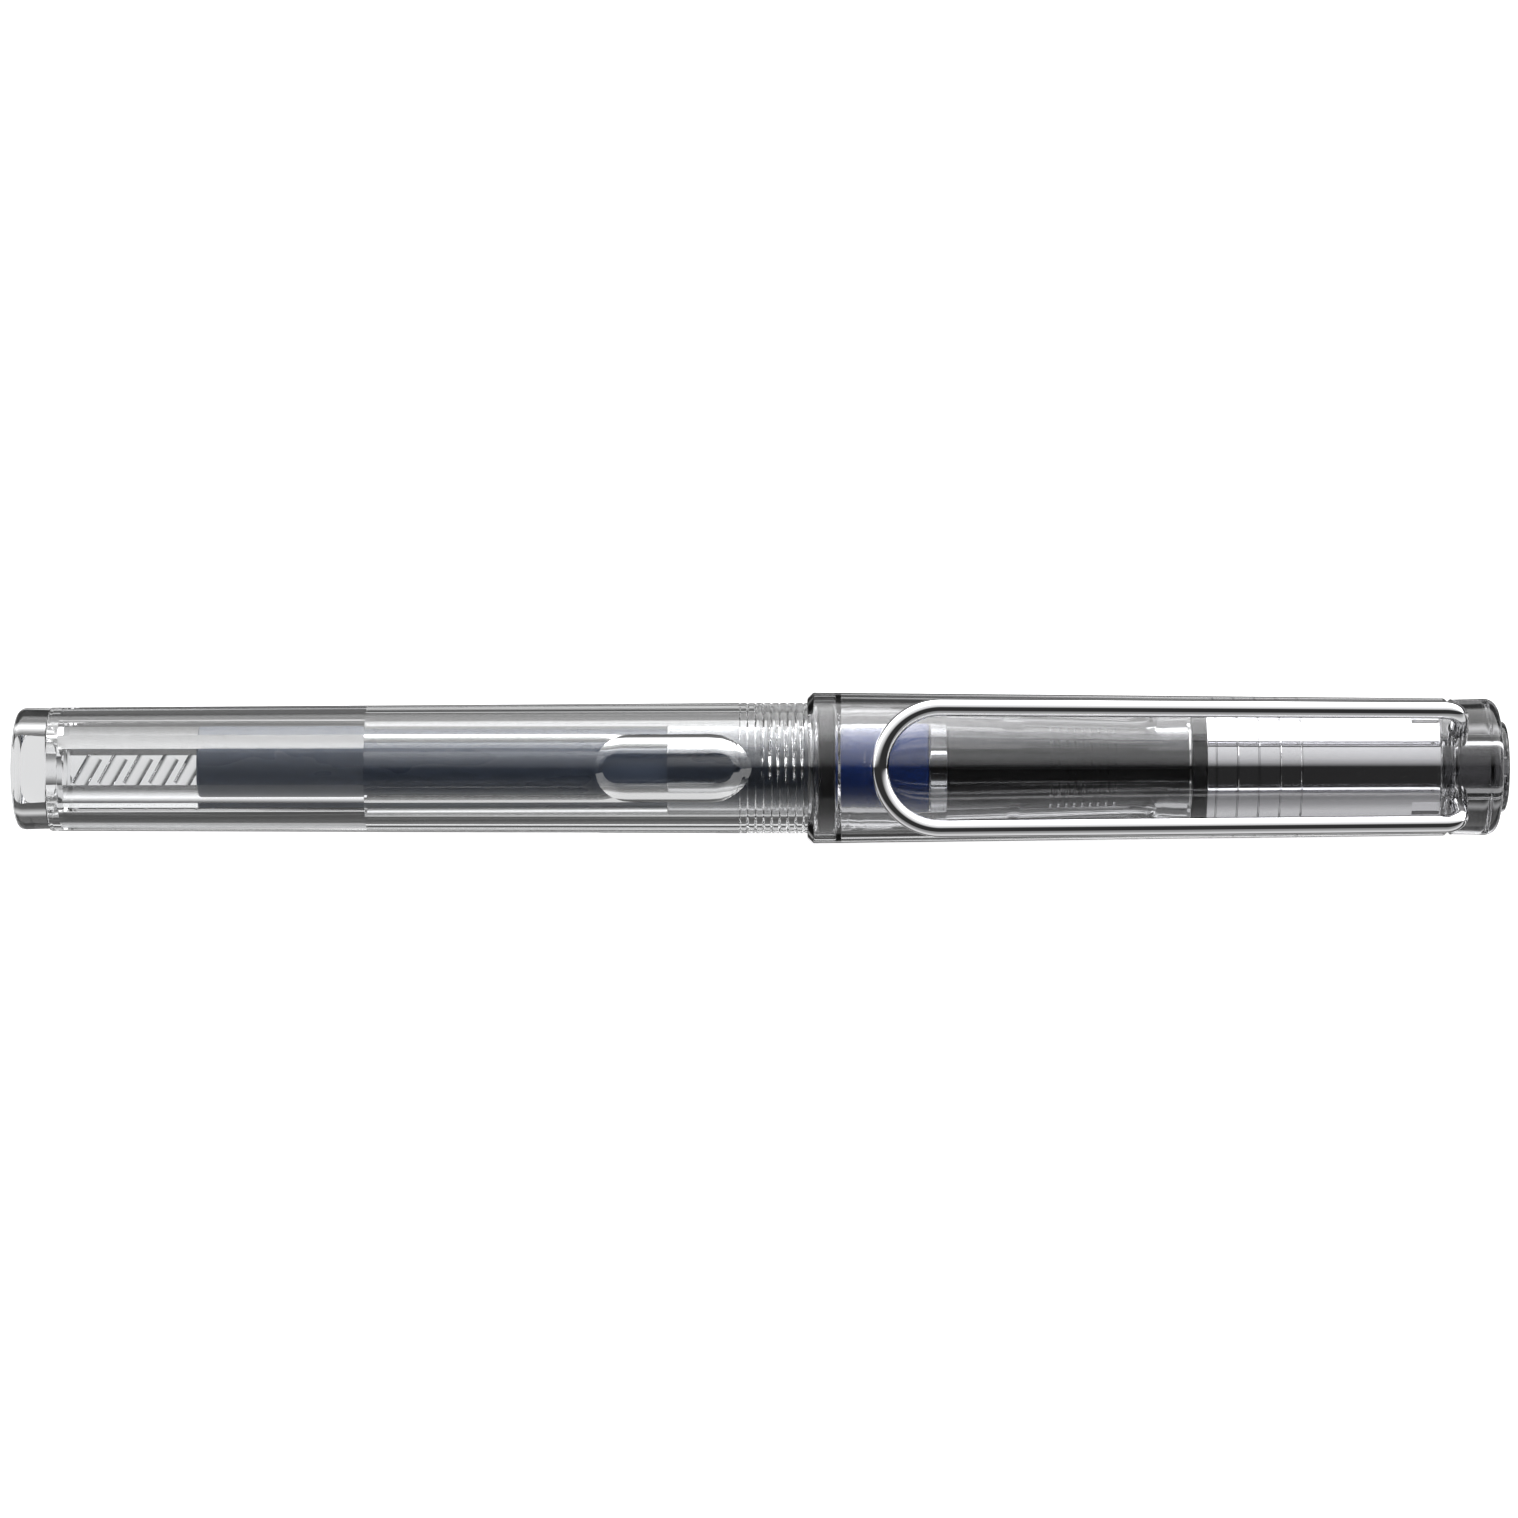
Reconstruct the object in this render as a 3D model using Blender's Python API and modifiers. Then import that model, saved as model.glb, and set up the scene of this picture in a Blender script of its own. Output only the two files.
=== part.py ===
"""A clear-bodied cartridge fountain pen with its cap on, lying along +X with its clip up (+Z).

Lengths are metres. Everything is worked out from the cartridge outwards: the section's sleeve holds
the cartridge, the barrel holds the sleeve, and the cap holds the barrel, each with its own named gap.
Each piece is drawn with the pen's axis on X and the tail's end at X = 0. The pen_frame empty then
puts the origin under the pen's middle, level with its lowest point.
"""

import math

import bmesh
import bpy
from mathutils import Matrix, Vector

MM = 0.001

# Gaps between pieces.
SEAT_GAP = 0.05 * MM
SLIDE_GAP = 0.12 * MM
THREAD_GAP = 0.07 * MM
CAP_GAP = 0.30 * MM

# Cartridge.
CARTRIDGE_RADIUS = 3.70 * MM
CARTRIDGE_LENGTH = 67.9 * MM
CARTRIDGE_WALL = 0.45 * MM
CARTRIDGE_MOUTH_RADIUS = 1.45 * MM
CARTRIDGE_MOUTH_LENGTH = 1.8 * MM
CARTRIDGE_SEAT_DEPTH = 8.7 * MM
CARTRIDGE_CORNER = 0.35 * MM
BALL_RADIUS = 1.6 * MM
BALL_SETBACK = 6.6 * MM

# Grip section.
SLEEVE_WALL = 0.50 * MM
SLEEVE_LENGTH = 15.6 * MM
THREAD_HEIGHT = 0.26 * MM
THREAD_PITCH = 0.742 * MM
THREAD_TURNS = 6
THREAD_LEAD = 3
THREAD_CREST_WIDTH = 0.10 * MM
THREAD_INSET = 0.8 * MM
THREAD_RELIEF = 0.06 * MM
GRIP_LENGTH = 32.9 * MM
COLLAR_LENGTH = 4.2 * MM
COLLAR_DROP = 0.30 * MM
COLLAR_RING = 0.12 * MM
GRIP_TAPER = 0.75 * MM
NOSE_RING_LENGTH = 2.6 * MM
NOSE_RING_HEIGHT = 0.18 * MM
FACET_ANGLE = math.radians(58)
FACET_DEPTH = 0.80 * MM
FACET_START_DEPTH = 0.10 * MM

# Feed, nipple and nib.
FEED_RADIUS = 3.30 * MM
FEED_COLLAR_LENGTH = 1.5 * MM
FEED_NECK_RADIUS = 1.9 * MM
FIN_COUNT = 9
FIN_PITCH = 0.74 * MM
FIN_DEPTH = 0.80 * MM
FIN_SETBACK = 13.1 * MM
NIPPLE_RADIUS = 1.25 * MM
NIPPLE_BORE = 0.45 * MM
NIPPLE_REACH = 2.6 * MM
NIB_THICKNESS = 0.25 * MM
NIB_REACH = 18.6 * MM
NIB_ROOT = 0.2 * MM
NIB_SHOULDER = 3.0 * MM
NIB_TIP_HALF_WIDTH = 0.38 * MM
NIB_DROOP = 1.1 * MM
NIB_HALF_ANGLE = math.radians(78)
NIB_SLIT = 0.12 * MM
NIB_HOLE_RADIUS = 0.42 * MM
TIPPING_RADIUS = 0.40 * MM
FEED_FRONT_SETBACK = 6.2 * MM
NIB_HOLE_SHARE = 0.42

# Barrel.
BARREL_LENGTH = 71.4 * MM
BARREL_WALL = 1.64 * MM
BARREL_TAPER = 0.32 * MM
BARREL_LIP_CHAMFER = 0.25 * MM
RIB_COUNT = 8
RIB_PITCH = 0.742 * MM
RIB_DEPTH = 0.13 * MM
RIB_INSET = 1.35 * MM
FLAT_HALF_WIDTH = 3.14 * MM
FLAT_FRONT_INSET = 8.9 * MM
WINDOW_LENGTH = 12.2 * MM
WINDOW_HALF_WIDTH = 1.38 * MM
WINDOW_INSET = 7.8 * MM
WINDOW_DISH_WIDTH = 1.66 * MM
WINDOW_DISH_LENGTH = 1.00 * MM
WINDOW_RIM = 0.25 * MM
FACETED_LENGTH = 28.4 * MM
FACET_CORNERS = (22.5, 49.5, 90.0, 130.5, 157.5)
FACETS_TURN = math.radians(2.8)

# End plug of the barrel.
PLUG_HEAD_LENGTH = 3.45 * MM
PLUG_CORNER = 1.0 * MM
PLUG_FACE_DOME = 0.28 * MM
PLUG_FLANGE_LENGTH = 0.90 * MM
PLUG_FLANGE_WALL = 0.42 * MM
PLUG_TEETH = 16
PLUG_TOOTH_HEIGHT = 0.22 * MM
PLUG_PILOT_LENGTH = 0.50 * MM
PLUG_RECESS_RADIUS = 2.6 * MM
PLUG_RECESS_DEPTH = 3.2 * MM

# Seal ring between the barrel and the section.
SEAL_WIDTH = 1.5 * MM
SEAL_THICKNESS = 1.5 * MM
SEAL_CORNER = 0.3 * MM

# Cap.
CAP_OVERLAP = 0.97 * MM
CAP_WALL = 0.67 * MM
CAP_TAPER = 0.64 * MM
CAP_LIP_CHAMFER = 0.55 * MM
CAP_LIP_LENGTH = 2.7 * MM
CAP_STEP = 0.36 * MM
CAP_END_CHAMFER = 0.30 * MM
CAP_RING_COUNT = 5
CAP_RING_PITCH = 1.97 * MM
CAP_RING_DEPTH = 0.06 * MM
CAP_RING_WIDTH = 0.16 * MM
CAP_RING_START = 0.75 * MM
INNER_CAP_LENGTH = 21.6 * MM
INNER_CAP_WALL = 0.55 * MM
INNER_CAP_TAPER = 0.20 * MM
INNER_CAP_END = 0.8 * MM
CAP_BODY_WALL = 1.06 * MM
CAP_SEAL_WIDTH = 1.3 * MM
CAP_SEAL_HEIGHT = 1.0 * MM
KEYWAY_LENGTH = 2.6 * MM
KEYWAY_WIDTH = 1.5 * MM
KEYWAY_DEPTH = 0.25 * MM
KEYWAY_COUNT = 4

# Finial and its plug.
FINIAL_LENGTH = 4.6 * MM
FINIAL_DROP = 0.05 * MM
FINIAL_CORNER = 1.2 * MM
FINIAL_SPIGOT_LENGTH = 1.1 * MM
FINIAL_SPIGOT_GAP = 0.10 * MM
FINIAL_PLUG_HEAD_RADIUS = 4.25 * MM
FINIAL_PLUG_HEAD = 0.70 * MM
FINIAL_PLUG_STEM_RADIUS = 2.0 * MM
FINIAL_CROSS_WIDTH = 1.1 * MM
FINIAL_CROSS_REACH = 3.3 * MM
FINIAL_CROSS_DEPTH = 1.6 * MM

# Clip.
WIRE_RADIUS = 0.83 * MM
CLIP_TOUCH_GAP = 0.10 * MM
CLIP_BOW_HALF_WIDTH = 5.55 * MM
CLIP_ROOT_HALF_WIDTH = 5.22 * MM
CLIP_REACH = 53.4 * MM
CLIP_BEND_RADIUS = 1.6 * MM
CLIP_CROWN = 0.50 * MM
CLIP_HOLE_GAP = 0.14 * MM
CLIP_ANCHOR_DEPTH = 2.1 * MM
CLIP_ROOT_OFFSET = 0.35 * MM

# Sides of each turned piece.
FACETS = 24
SMALL_FACETS = 16

# Radii, from the cartridge outwards.
SLEEVE_BORE = CARTRIDGE_RADIUS + SLIDE_GAP
SLEEVE_RADIUS = SLEEVE_BORE + SLEEVE_WALL
BARREL_BORE = SLEEVE_RADIUS + SLIDE_GAP
THREAD_CREST = SLEEVE_RADIUS + THREAD_HEIGHT
BARREL_FRONT_RADIUS = BARREL_BORE + BARREL_WALL
BARREL_TAIL_RADIUS = BARREL_FRONT_RADIUS - BARREL_TAPER
FACETED_RADIUS = BARREL_BORE - SEAT_GAP
FACETED_INRADIUS = FACETED_RADIUS * math.cos(math.radians(FACET_CORNERS[0]))
SEAL_BORE = SLEEVE_RADIUS + SLIDE_GAP
SEAL_RADIUS = SEAL_BORE + SEAL_THICKNESS
COLLAR_RADIUS = BARREL_FRONT_RADIUS - COLLAR_DROP
NOSE_RADIUS = COLLAR_RADIUS - GRIP_TAPER
NOSE_BORE = FEED_RADIUS + NIB_THICKNESS + 3 * SLIDE_GAP
CAP_LIP_BORE = BARREL_FRONT_RADIUS + CAP_GAP
CAP_LIP_RADIUS = CAP_LIP_BORE + CAP_WALL
CAP_END_RADIUS = CAP_LIP_RADIUS - CAP_TAPER
CAP_END_BORE = CAP_END_RADIUS - CAP_BODY_WALL
INNER_CAP_RADIUS = CAP_END_BORE - SEAT_GAP
FINIAL_RADIUS = CAP_END_RADIUS - FINIAL_DROP

# Places along the axis, from the tail to the cap's end.
BARREL_TAIL = PLUG_HEAD_LENGTH + SEAT_GAP
BARREL_FRONT = BARREL_TAIL + BARREL_LENGTH
SHOULDER = BARREL_FRONT + SEAL_WIDTH + 2 * SEAT_GAP
SLEEVE_TAIL = SHOULDER - SLEEVE_LENGTH
THREAD_FRONT = BARREL_FRONT - THREAD_INSET
THREAD_TAIL = THREAD_FRONT - THREAD_PITCH * THREAD_TURNS
NOSE = SHOULDER + GRIP_LENGTH
CARTRIDGE_FRONT = SHOULDER + CARTRIDGE_SEAT_DEPTH
CARTRIDGE_TAIL = CARTRIDGE_FRONT - CARTRIDGE_LENGTH
FEED_TAIL = CARTRIDGE_FRONT + SLIDE_GAP + FEED_COLLAR_LENGTH + SEAT_GAP
FEED_FRONT = NOSE + NIB_REACH - FEED_FRONT_SETBACK
FIN_TAIL = NOSE - FIN_SETBACK
NIB_TAIL = NOSE - NIB_ROOT
NIB_TIP = NOSE + NIB_REACH
FLAT_FRONT = BARREL_FRONT - FLAT_FRONT_INSET
WINDOW_FRONT = BARREL_FRONT - WINDOW_INSET
WINDOW_TAIL = WINDOW_FRONT - WINDOW_LENGTH
RIB_FRONT = BARREL_FRONT - RIB_INSET
RIB_TAIL = RIB_FRONT - RIB_PITCH * RIB_COUNT
FLANGE_SEAT = BARREL_TAIL + PLUG_FLANGE_LENGTH + SEAT_GAP
FACETED_FRONT = FLANGE_SEAT + FACETED_LENGTH
CAP_LIP = BARREL_FRONT - CAP_OVERLAP
CAP_STEP_PLACE = CAP_LIP + CAP_LIP_LENGTH
CAP_SEAL_TAIL = NOSE + SEAT_GAP
INNER_CAP_RIM = CAP_SEAL_TAIL + CAP_SEAL_WIDTH + SEAT_GAP
INNER_CAP_BACK = INNER_CAP_RIM + INNER_CAP_LENGTH
SPIGOT_TAIL = INNER_CAP_BACK + SEAT_GAP
CAP_END = SPIGOT_TAIL + FINIAL_SPIGOT_LENGTH
FINIAL_START = CAP_END + SEAT_GAP
FINIAL_END = FINIAL_START + FINIAL_LENGTH
CLIP_ROOT = FINIAL_START + CLIP_ROOT_OFFSET
CLIP_BOW = CLIP_ROOT - CLIP_REACH
PEN_LENGTH = FINIAL_END + SEAT_GAP + FINIAL_PLUG_HEAD


def cap_radius_at(x):
    """Outer radius of the cap, which narrows evenly from its lip to its end."""
    return CAP_LIP_RADIUS - CAP_TAPER * (x - CAP_LIP) / (CAP_END - CAP_LIP)


def barrel_radius_at(x):
    """Outer radius of the barrel and its plug, which widen evenly towards the front."""
    share = (x - BARREL_TAIL) / (RIB_TAIL - BARREL_TAIL)
    return BARREL_TAIL_RADIUS + BARREL_TAPER * max(0.0, min(1.0, share))


# ---------------------------------------------------------------- scene, materials, helpers

for leftover in list(bpy.data.objects):
    bpy.data.objects.remove(leftover)

pen = bpy.data.collections.new("fountain_pen")
cutters = bpy.data.collections.new("cutters")
bpy.context.scene.collection.children.link(pen)
bpy.context.scene.collection.children.link(cutters)


def material(name, color, roughness, metallic=0.0, transmission=0.0):
    made = bpy.data.materials.new(name)
    made.use_nodes = True
    shader = made.node_tree.nodes["Principled BSDF"]
    shader.inputs["Base Color"].default_value = (*color, 1)
    shader.inputs["Roughness"].default_value = roughness
    shader.inputs["Metallic"].default_value = metallic
    shader.inputs["Transmission Weight"].default_value = transmission
    return made


CLEAR = material("clear_plastic", (0.93, 0.94, 0.95), 0.03, transmission=1.0)
SMOKE = material("smoke_plastic", (0.62, 0.63, 0.65), 0.04, transmission=1.0)
CHROME = material("chrome", (0.80, 0.80, 0.82), 0.05, metallic=1.0)
STEEL = material("polished_steel", (0.72, 0.72, 0.73), 0.12, metallic=1.0)
BLACK = material("black_plastic", (0.02, 0.02, 0.022), 0.30)
RUBBER = material("seal_rubber", (0.03, 0.03, 0.032), 0.55)
MILKY = material("cartridge_plastic", (0.85, 0.88, 0.92), 0.15, transmission=0.8)
INK = material("blue_ink", (0.02, 0.05, 0.30), 0.05, transmission=0.3)


def place(name, mesh, finish=None):
    """Links a mesh as a part of the pen, or as a cutter if it has no finish."""
    made = bpy.data.objects.new(name, mesh)
    if finish is None:
        cutters.objects.link(made)
        made.hide_render = True
        made.display_type = "WIRE"
    else:
        pen.objects.link(made)
        mesh.materials.append(finish)
        mesh.shade_smooth()
    return made


def boolean(target, tool, operation="DIFFERENCE"):
    cut = target.modifiers.new(tool.name, "BOOLEAN")
    cut.operation = operation
    cut.object = tool


def turned(name, profile, finish=None, facets=FACETS):
    """A solid of revolution about X. The profile is a list of (x, radius) points, either way round.
    It closes on itself unless its ends lie on the axis."""
    mesh = bpy.data.meshes.new(name)
    around = zip(profile, profile[1:] + profile[:1])
    if sum(x * after_r - after_x * r for (x, r), (after_x, after_r) in around) < 0:
        profile = profile[::-1]
    points = [(x, 0.0, radius) for x, radius in profile]
    edges = [(i, i + 1) for i in range(len(points) - 1)]
    if profile[0][1] > 0:
        edges.append((len(points) - 1, 0))
    mesh.from_pydata(points, edges, [])
    made = place(name, mesh, finish)
    screw = made.modifiers.new("turn", "SCREW")
    screw.axis = "X"
    screw.steps = screw.render_steps = facets
    screw.use_merge_vertices = True
    screw.merge_threshold = 0.000001
    screw.use_smooth_shade = finish is not None
    return made


def from_bmesh(name, shape, finish=None):
    bmesh.ops.recalc_face_normals(shape, faces=shape.faces)
    mesh = bpy.data.meshes.new(name)
    shape.to_mesh(mesh)
    shape.free()
    return place(name, mesh, finish)


def box(name, low, high, finish=None):
    shape = bmesh.new()
    bmesh.ops.create_cube(shape, size=1.0)
    size = Vector(high) - Vector(low)
    bmesh.ops.transform(
        shape,
        matrix=Matrix.Translation((Vector(low) + Vector(high)) / 2) @ Matrix.Diagonal((*size, 1)),
        verts=shape.verts,
    )
    return from_bmesh(name, shape, finish)


def rod(name, start, end, radius, finish=None, facets=FACETS):
    """A straight cylinder between two points."""
    shape = bmesh.new()
    along = Vector(end) - Vector(start)
    bmesh.ops.create_cone(
        shape, cap_ends=True, segments=facets, radius1=radius, radius2=radius, depth=along.length
    )
    turn = Vector((0, 0, 1)).rotation_difference(along).to_matrix().to_4x4()
    middle = (Vector(start) + Vector(end)) / 2
    bmesh.ops.transform(shape, matrix=Matrix.Translation(middle) @ turn, verts=shape.verts)
    return from_bmesh(name, shape, finish)


def lofted(name, rings, finish=None):
    """A solid whose skin runs through rings of the same number of points, closed by its end rings."""
    shape = bmesh.new()
    loops = [[shape.verts.new(point) for point in ring] for ring in rings]
    for lower, upper in zip(loops, loops[1:]):
        for i, vert in enumerate(lower):
            after = (i + 1) % len(lower)
            shape.faces.new((vert, lower[after], upper[after], upper[i]))
    shape.faces.new(loops[0])
    shape.faces.new(loops[-1])
    return from_bmesh(name, shape, finish)


def stadium(x_tail, x_front, half_width, z, arc_points=8):
    """A round-ended slot outline at height z, its ends at x_tail and x_front."""
    points = []
    for centre, start in ((x_front - half_width, -math.pi / 2), (x_tail + half_width, math.pi / 2)):
        for step in range(arc_points + 1):
            angle = start + math.pi * step / arc_points
            points.append(
                (centre + half_width * math.cos(angle), half_width * math.sin(angle), z)
            )
    return points


def helical_ridge(name, root, crest, crest_half_width, tail, lead=0):
    """One thread ridge, a trapezium swept along a right-hand helix about X from tail. It starts
    earlier on the same helix by lead sides of a turn."""
    flank = crest - root
    section = (
        (-crest_half_width - flank * 0.6, root),
        (-crest_half_width, crest),
        (crest_half_width, crest),
        (crest_half_width + flank * 0.6, root),
    )
    rings = []
    for step in range(-lead, THREAD_TURNS * FACETS + 1):
        angle = 2 * math.pi * step / FACETS
        middle = tail + THREAD_PITCH * step / FACETS
        rings.append(
            [
                (middle + x, -radius * math.sin(angle), radius * math.cos(angle))
                for x, radius in section
            ]
        )
    return lofted(name, rings)


# ---------------------------------------------------------------- barrel and its end plug


def flat_height_at(x):
    """Height of the flats above the axis. They are plane, and as wide at both ends of the barrel."""
    tail = math.sqrt(BARREL_TAIL_RADIUS**2 - FLAT_HALF_WIDTH**2)
    front = math.sqrt(BARREL_FRONT_RADIUS**2 - FLAT_HALF_WIDTH**2)
    return tail + (front - tail) * (x - BARREL_TAIL) / (RIB_TAIL - BARREL_TAIL)


def flat_cutter(name, side):
    """What mills one of the two flats that run from the end plug to the ink window."""
    rings = []
    for clear in (0.0, 2 * FLAT_HALF_WIDTH):
        outline = stadium(-PLUG_HEAD_LENGTH, FLAT_FRONT, 1.04 * FLAT_HALF_WIDTH, 0.0)
        rings.append([(x, y, side * (flat_height_at(x) + clear)) for x, y, _ in outline])
    return lofted(name, rings)


def window_dish(name, side):
    """The dish round an ink window. It opens from the window's rim to the flat, then to the round
    outside beyond the flat's end."""
    rim = BARREL_BORE + WINDOW_RIM
    flat = flat_height_at(WINDOW_FRONT)
    stations = (
        (rim, 0.0, 0.0),
        (flat, WINDOW_DISH_WIDTH, 0.6 * WINDOW_DISH_LENGTH),
        (BARREL_FRONT_RADIUS, 1.12 * WINDOW_DISH_WIDTH, WINDOW_DISH_LENGTH),
        (2 * BARREL_FRONT_RADIUS - flat, 1.3 * WINDOW_DISH_WIDTH, 1.4 * WINDOW_DISH_LENGTH),
    )
    rings = []
    for height, wider, longer in stations:
        half_width = WINDOW_HALF_WIDTH + wider
        tail, front = WINDOW_TAIL - longer, WINDOW_FRONT + longer
        rings.append(stadium(tail, front, half_width, side * height))
    return lofted(name, rings)


def faceted_cutter():
    """What planes the long facets of the barrel's bore, from its tail to FACETED_FRONT."""
    corners = [*FACET_CORNERS, *(-corner for corner in reversed(FACET_CORNERS))]
    rings = []
    for x in (FLANGE_SEAT - PLUG_FLANGE_LENGTH / 2, FACETED_FRONT + BARREL_BORE - FACETED_INRADIUS):
        ring = []
        for corner in corners:
            angle = math.radians(corner) + FACETS_TURN
            ring.append((x, FACETED_RADIUS * math.sin(angle), FACETED_RADIUS * math.cos(angle)))
        rings.append(ring)
    return lofted("faceted_cutter", rings)


def make_barrel():
    flange_bore = FACETED_INRADIUS + PLUG_FLANGE_WALL + SEAT_GAP
    rough_bore = FACETED_INRADIUS - SLIDE_GAP
    outer = [(BARREL_TAIL, BARREL_TAIL_RADIUS)]
    outer.append((RIB_TAIL, BARREL_FRONT_RADIUS))
    for rib in range(RIB_COUNT):
        start = RIB_TAIL + RIB_PITCH * rib
        outer.append((start + 0.20 * RIB_PITCH, BARREL_FRONT_RADIUS - RIB_DEPTH))
        outer.append((start + 0.45 * RIB_PITCH, BARREL_FRONT_RADIUS))
        outer.append((start + 0.95 * RIB_PITCH, BARREL_FRONT_RADIUS))
    outer.append((BARREL_FRONT - BARREL_LIP_CHAMFER, BARREL_FRONT_RADIUS))
    outer.append((BARREL_FRONT, BARREL_FRONT_RADIUS - BARREL_LIP_CHAMFER))
    inner = [
        (BARREL_FRONT, THREAD_CREST + THREAD_GAP + THREAD_RELIEF),
        (THREAD_FRONT, THREAD_CREST + THREAD_GAP + THREAD_RELIEF),
        (THREAD_FRONT - THREAD_HEIGHT, BARREL_BORE),
        (FACETED_FRONT, BARREL_BORE),
        (FACETED_FRONT, rough_bore),
        (FLANGE_SEAT, rough_bore),
        (FLANGE_SEAT, flange_bore),
        (BARREL_TAIL, flange_bore),
    ]
    barrel = turned("barrel", inner + outer, CLEAR)
    boolean(barrel, faceted_cutter())
    for side, label in ((1, "top"), (-1, "bottom")):
        boolean(barrel, flat_cutter(f"flat_cutter_{label}", side))
        boolean(barrel, window_dish(f"window_dish_{label}", side))
    reach = 2 * BARREL_FRONT_RADIUS
    slot = [stadium(WINDOW_TAIL, WINDOW_FRONT, WINDOW_HALF_WIDTH, z) for z in (-reach, reach)]
    boolean(barrel, lofted("window_cutter", slot))
    groove = helical_ridge(
        "female_thread_cutter",
        BARREL_BORE - THREAD_GAP,
        THREAD_CREST + THREAD_GAP,
        THREAD_CREST_WIDTH / 2 + THREAD_GAP,
        THREAD_TAIL,
        THREAD_LEAD,
    )
    boolean(barrel, groove)
    return barrel


def make_end_plug():
    radius = BARREL_TAIL_RADIUS
    dome = PLUG_FACE_DOME
    profile = [(0.0, 0.0), (0.0, radius * 0.45), (dome * 0.6, radius - 1.6 * PLUG_CORNER)]
    for step in range(5):
        angle = math.pi / 2 * (0.25 + 0.75 * step / 4)
        profile.append(
            (
                dome + PLUG_CORNER - PLUG_CORNER * math.cos(angle),
                radius - PLUG_CORNER + PLUG_CORNER * math.sin(angle),
            )
        )
    pilot_radius = FACETED_INRADIUS - 2 * SLIDE_GAP
    flange_front = BARREL_TAIL + PLUG_FLANGE_LENGTH
    pilot_front = flange_front + PLUG_PILOT_LENGTH
    profile += [
        (PLUG_HEAD_LENGTH, radius),
        (PLUG_HEAD_LENGTH, pilot_radius),
        (pilot_front, pilot_radius),
        (pilot_front, 0.0),
    ]
    plug = turned("barrel_end_plug", profile, CLEAR)
    crest = FACETED_INRADIUS + PLUG_FLANGE_WALL - SLIDE_GAP
    rings = []
    for x in (PLUG_HEAD_LENGTH - PLUG_FLANGE_LENGTH / 2, flange_front):
        ring = []
        for tooth in range(4 * PLUG_TEETH):
            angle = 2 * math.pi * (tooth + 0.5) / (4 * PLUG_TEETH)
            reach = crest - PLUG_TOOTH_HEIGHT * (tooth // 2 % 2)
            ring.append((x, reach * math.cos(angle), reach * math.sin(angle)))
        rings.append(ring)
    boolean(plug, lofted("plug_teeth", rings), "UNION")
    recess = rod(
        "plug_recess_cutter",
        (pilot_front - PLUG_RECESS_DEPTH, 0, 0),
        (pilot_front + PLUG_RECESS_DEPTH, 0, 0),
        PLUG_RECESS_RADIUS,
    )
    boolean(plug, recess)
    for label in ("top", "bottom"):
        boolean(plug, bpy.data.objects[f"flat_cutter_{label}"])
    return plug


# ---------------------------------------------------------------- section, feed, nib


def make_seal_ring():
    tail, front = BARREL_FRONT + SEAT_GAP, SHOULDER - SEAT_GAP
    corner = SEAL_CORNER
    turned(
        "barrel_seal_ring",
        [
            (front, SEAL_BORE),
            (tail, SEAL_BORE),
            (tail, SEAL_RADIUS - corner),
            (tail + corner, SEAL_RADIUS),
            (front - corner, SEAL_RADIUS),
            (front, SEAL_RADIUS - corner),
        ],
        RUBBER,
    )


def make_section():
    seat = CARTRIDGE_FRONT + SLIDE_GAP
    feed_bore = FEED_RADIUS + SLIDE_GAP
    grip_start = SHOULDER + COLLAR_LENGTH
    ring_start = NOSE - NOSE_RING_LENGTH
    profile = [
        (seat + FEED_COLLAR_LENGTH, SLEEVE_BORE),
        (SLEEVE_TAIL, SLEEVE_BORE),
        (SLEEVE_TAIL, SLEEVE_RADIUS - 0.4 * SLEEVE_WALL),
        (SLEEVE_TAIL + 0.4 * SLEEVE_WALL, SLEEVE_RADIUS),
        (SHOULDER, SLEEVE_RADIUS),
        (SHOULDER, COLLAR_RADIUS),
        (SHOULDER + 0.35 * COLLAR_LENGTH, COLLAR_RADIUS),
        (SHOULDER + 0.45 * COLLAR_LENGTH, COLLAR_RADIUS + COLLAR_RING),
        (SHOULDER + 0.55 * COLLAR_LENGTH, COLLAR_RADIUS + COLLAR_RING),
        (SHOULDER + 0.65 * COLLAR_LENGTH, COLLAR_RADIUS),
        (grip_start, COLLAR_RADIUS),
        (ring_start, NOSE_RADIUS),
        (ring_start + NOSE_RING_LENGTH * 0.3, NOSE_RADIUS + NOSE_RING_HEIGHT),
        (NOSE - NOSE_RING_HEIGHT, NOSE_RADIUS + NOSE_RING_HEIGHT),
        (NOSE, NOSE_RADIUS),
        (NOSE, NOSE_BORE),
        (NIB_TAIL - SLIDE_GAP, NOSE_BORE),
        (NIB_TAIL - SLIDE_GAP, feed_bore),
        (seat + FEED_COLLAR_LENGTH, feed_bore),
    ]
    section = turned("grip_section", profile, CLEAR)
    for side, label in ((1, "left"), (-1, "right")):
        boolean(section, facet_cutter(f"facet_cutter_{label}", side, grip_start, ring_start))
    ridge = helical_ridge(
        "male_thread",
        SLEEVE_RADIUS - 0.5 * SLEEVE_WALL,
        THREAD_CREST,
        THREAD_CREST_WIDTH / 2,
        THREAD_TAIL,
    )
    boolean(section, ridge, "UNION")


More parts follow.
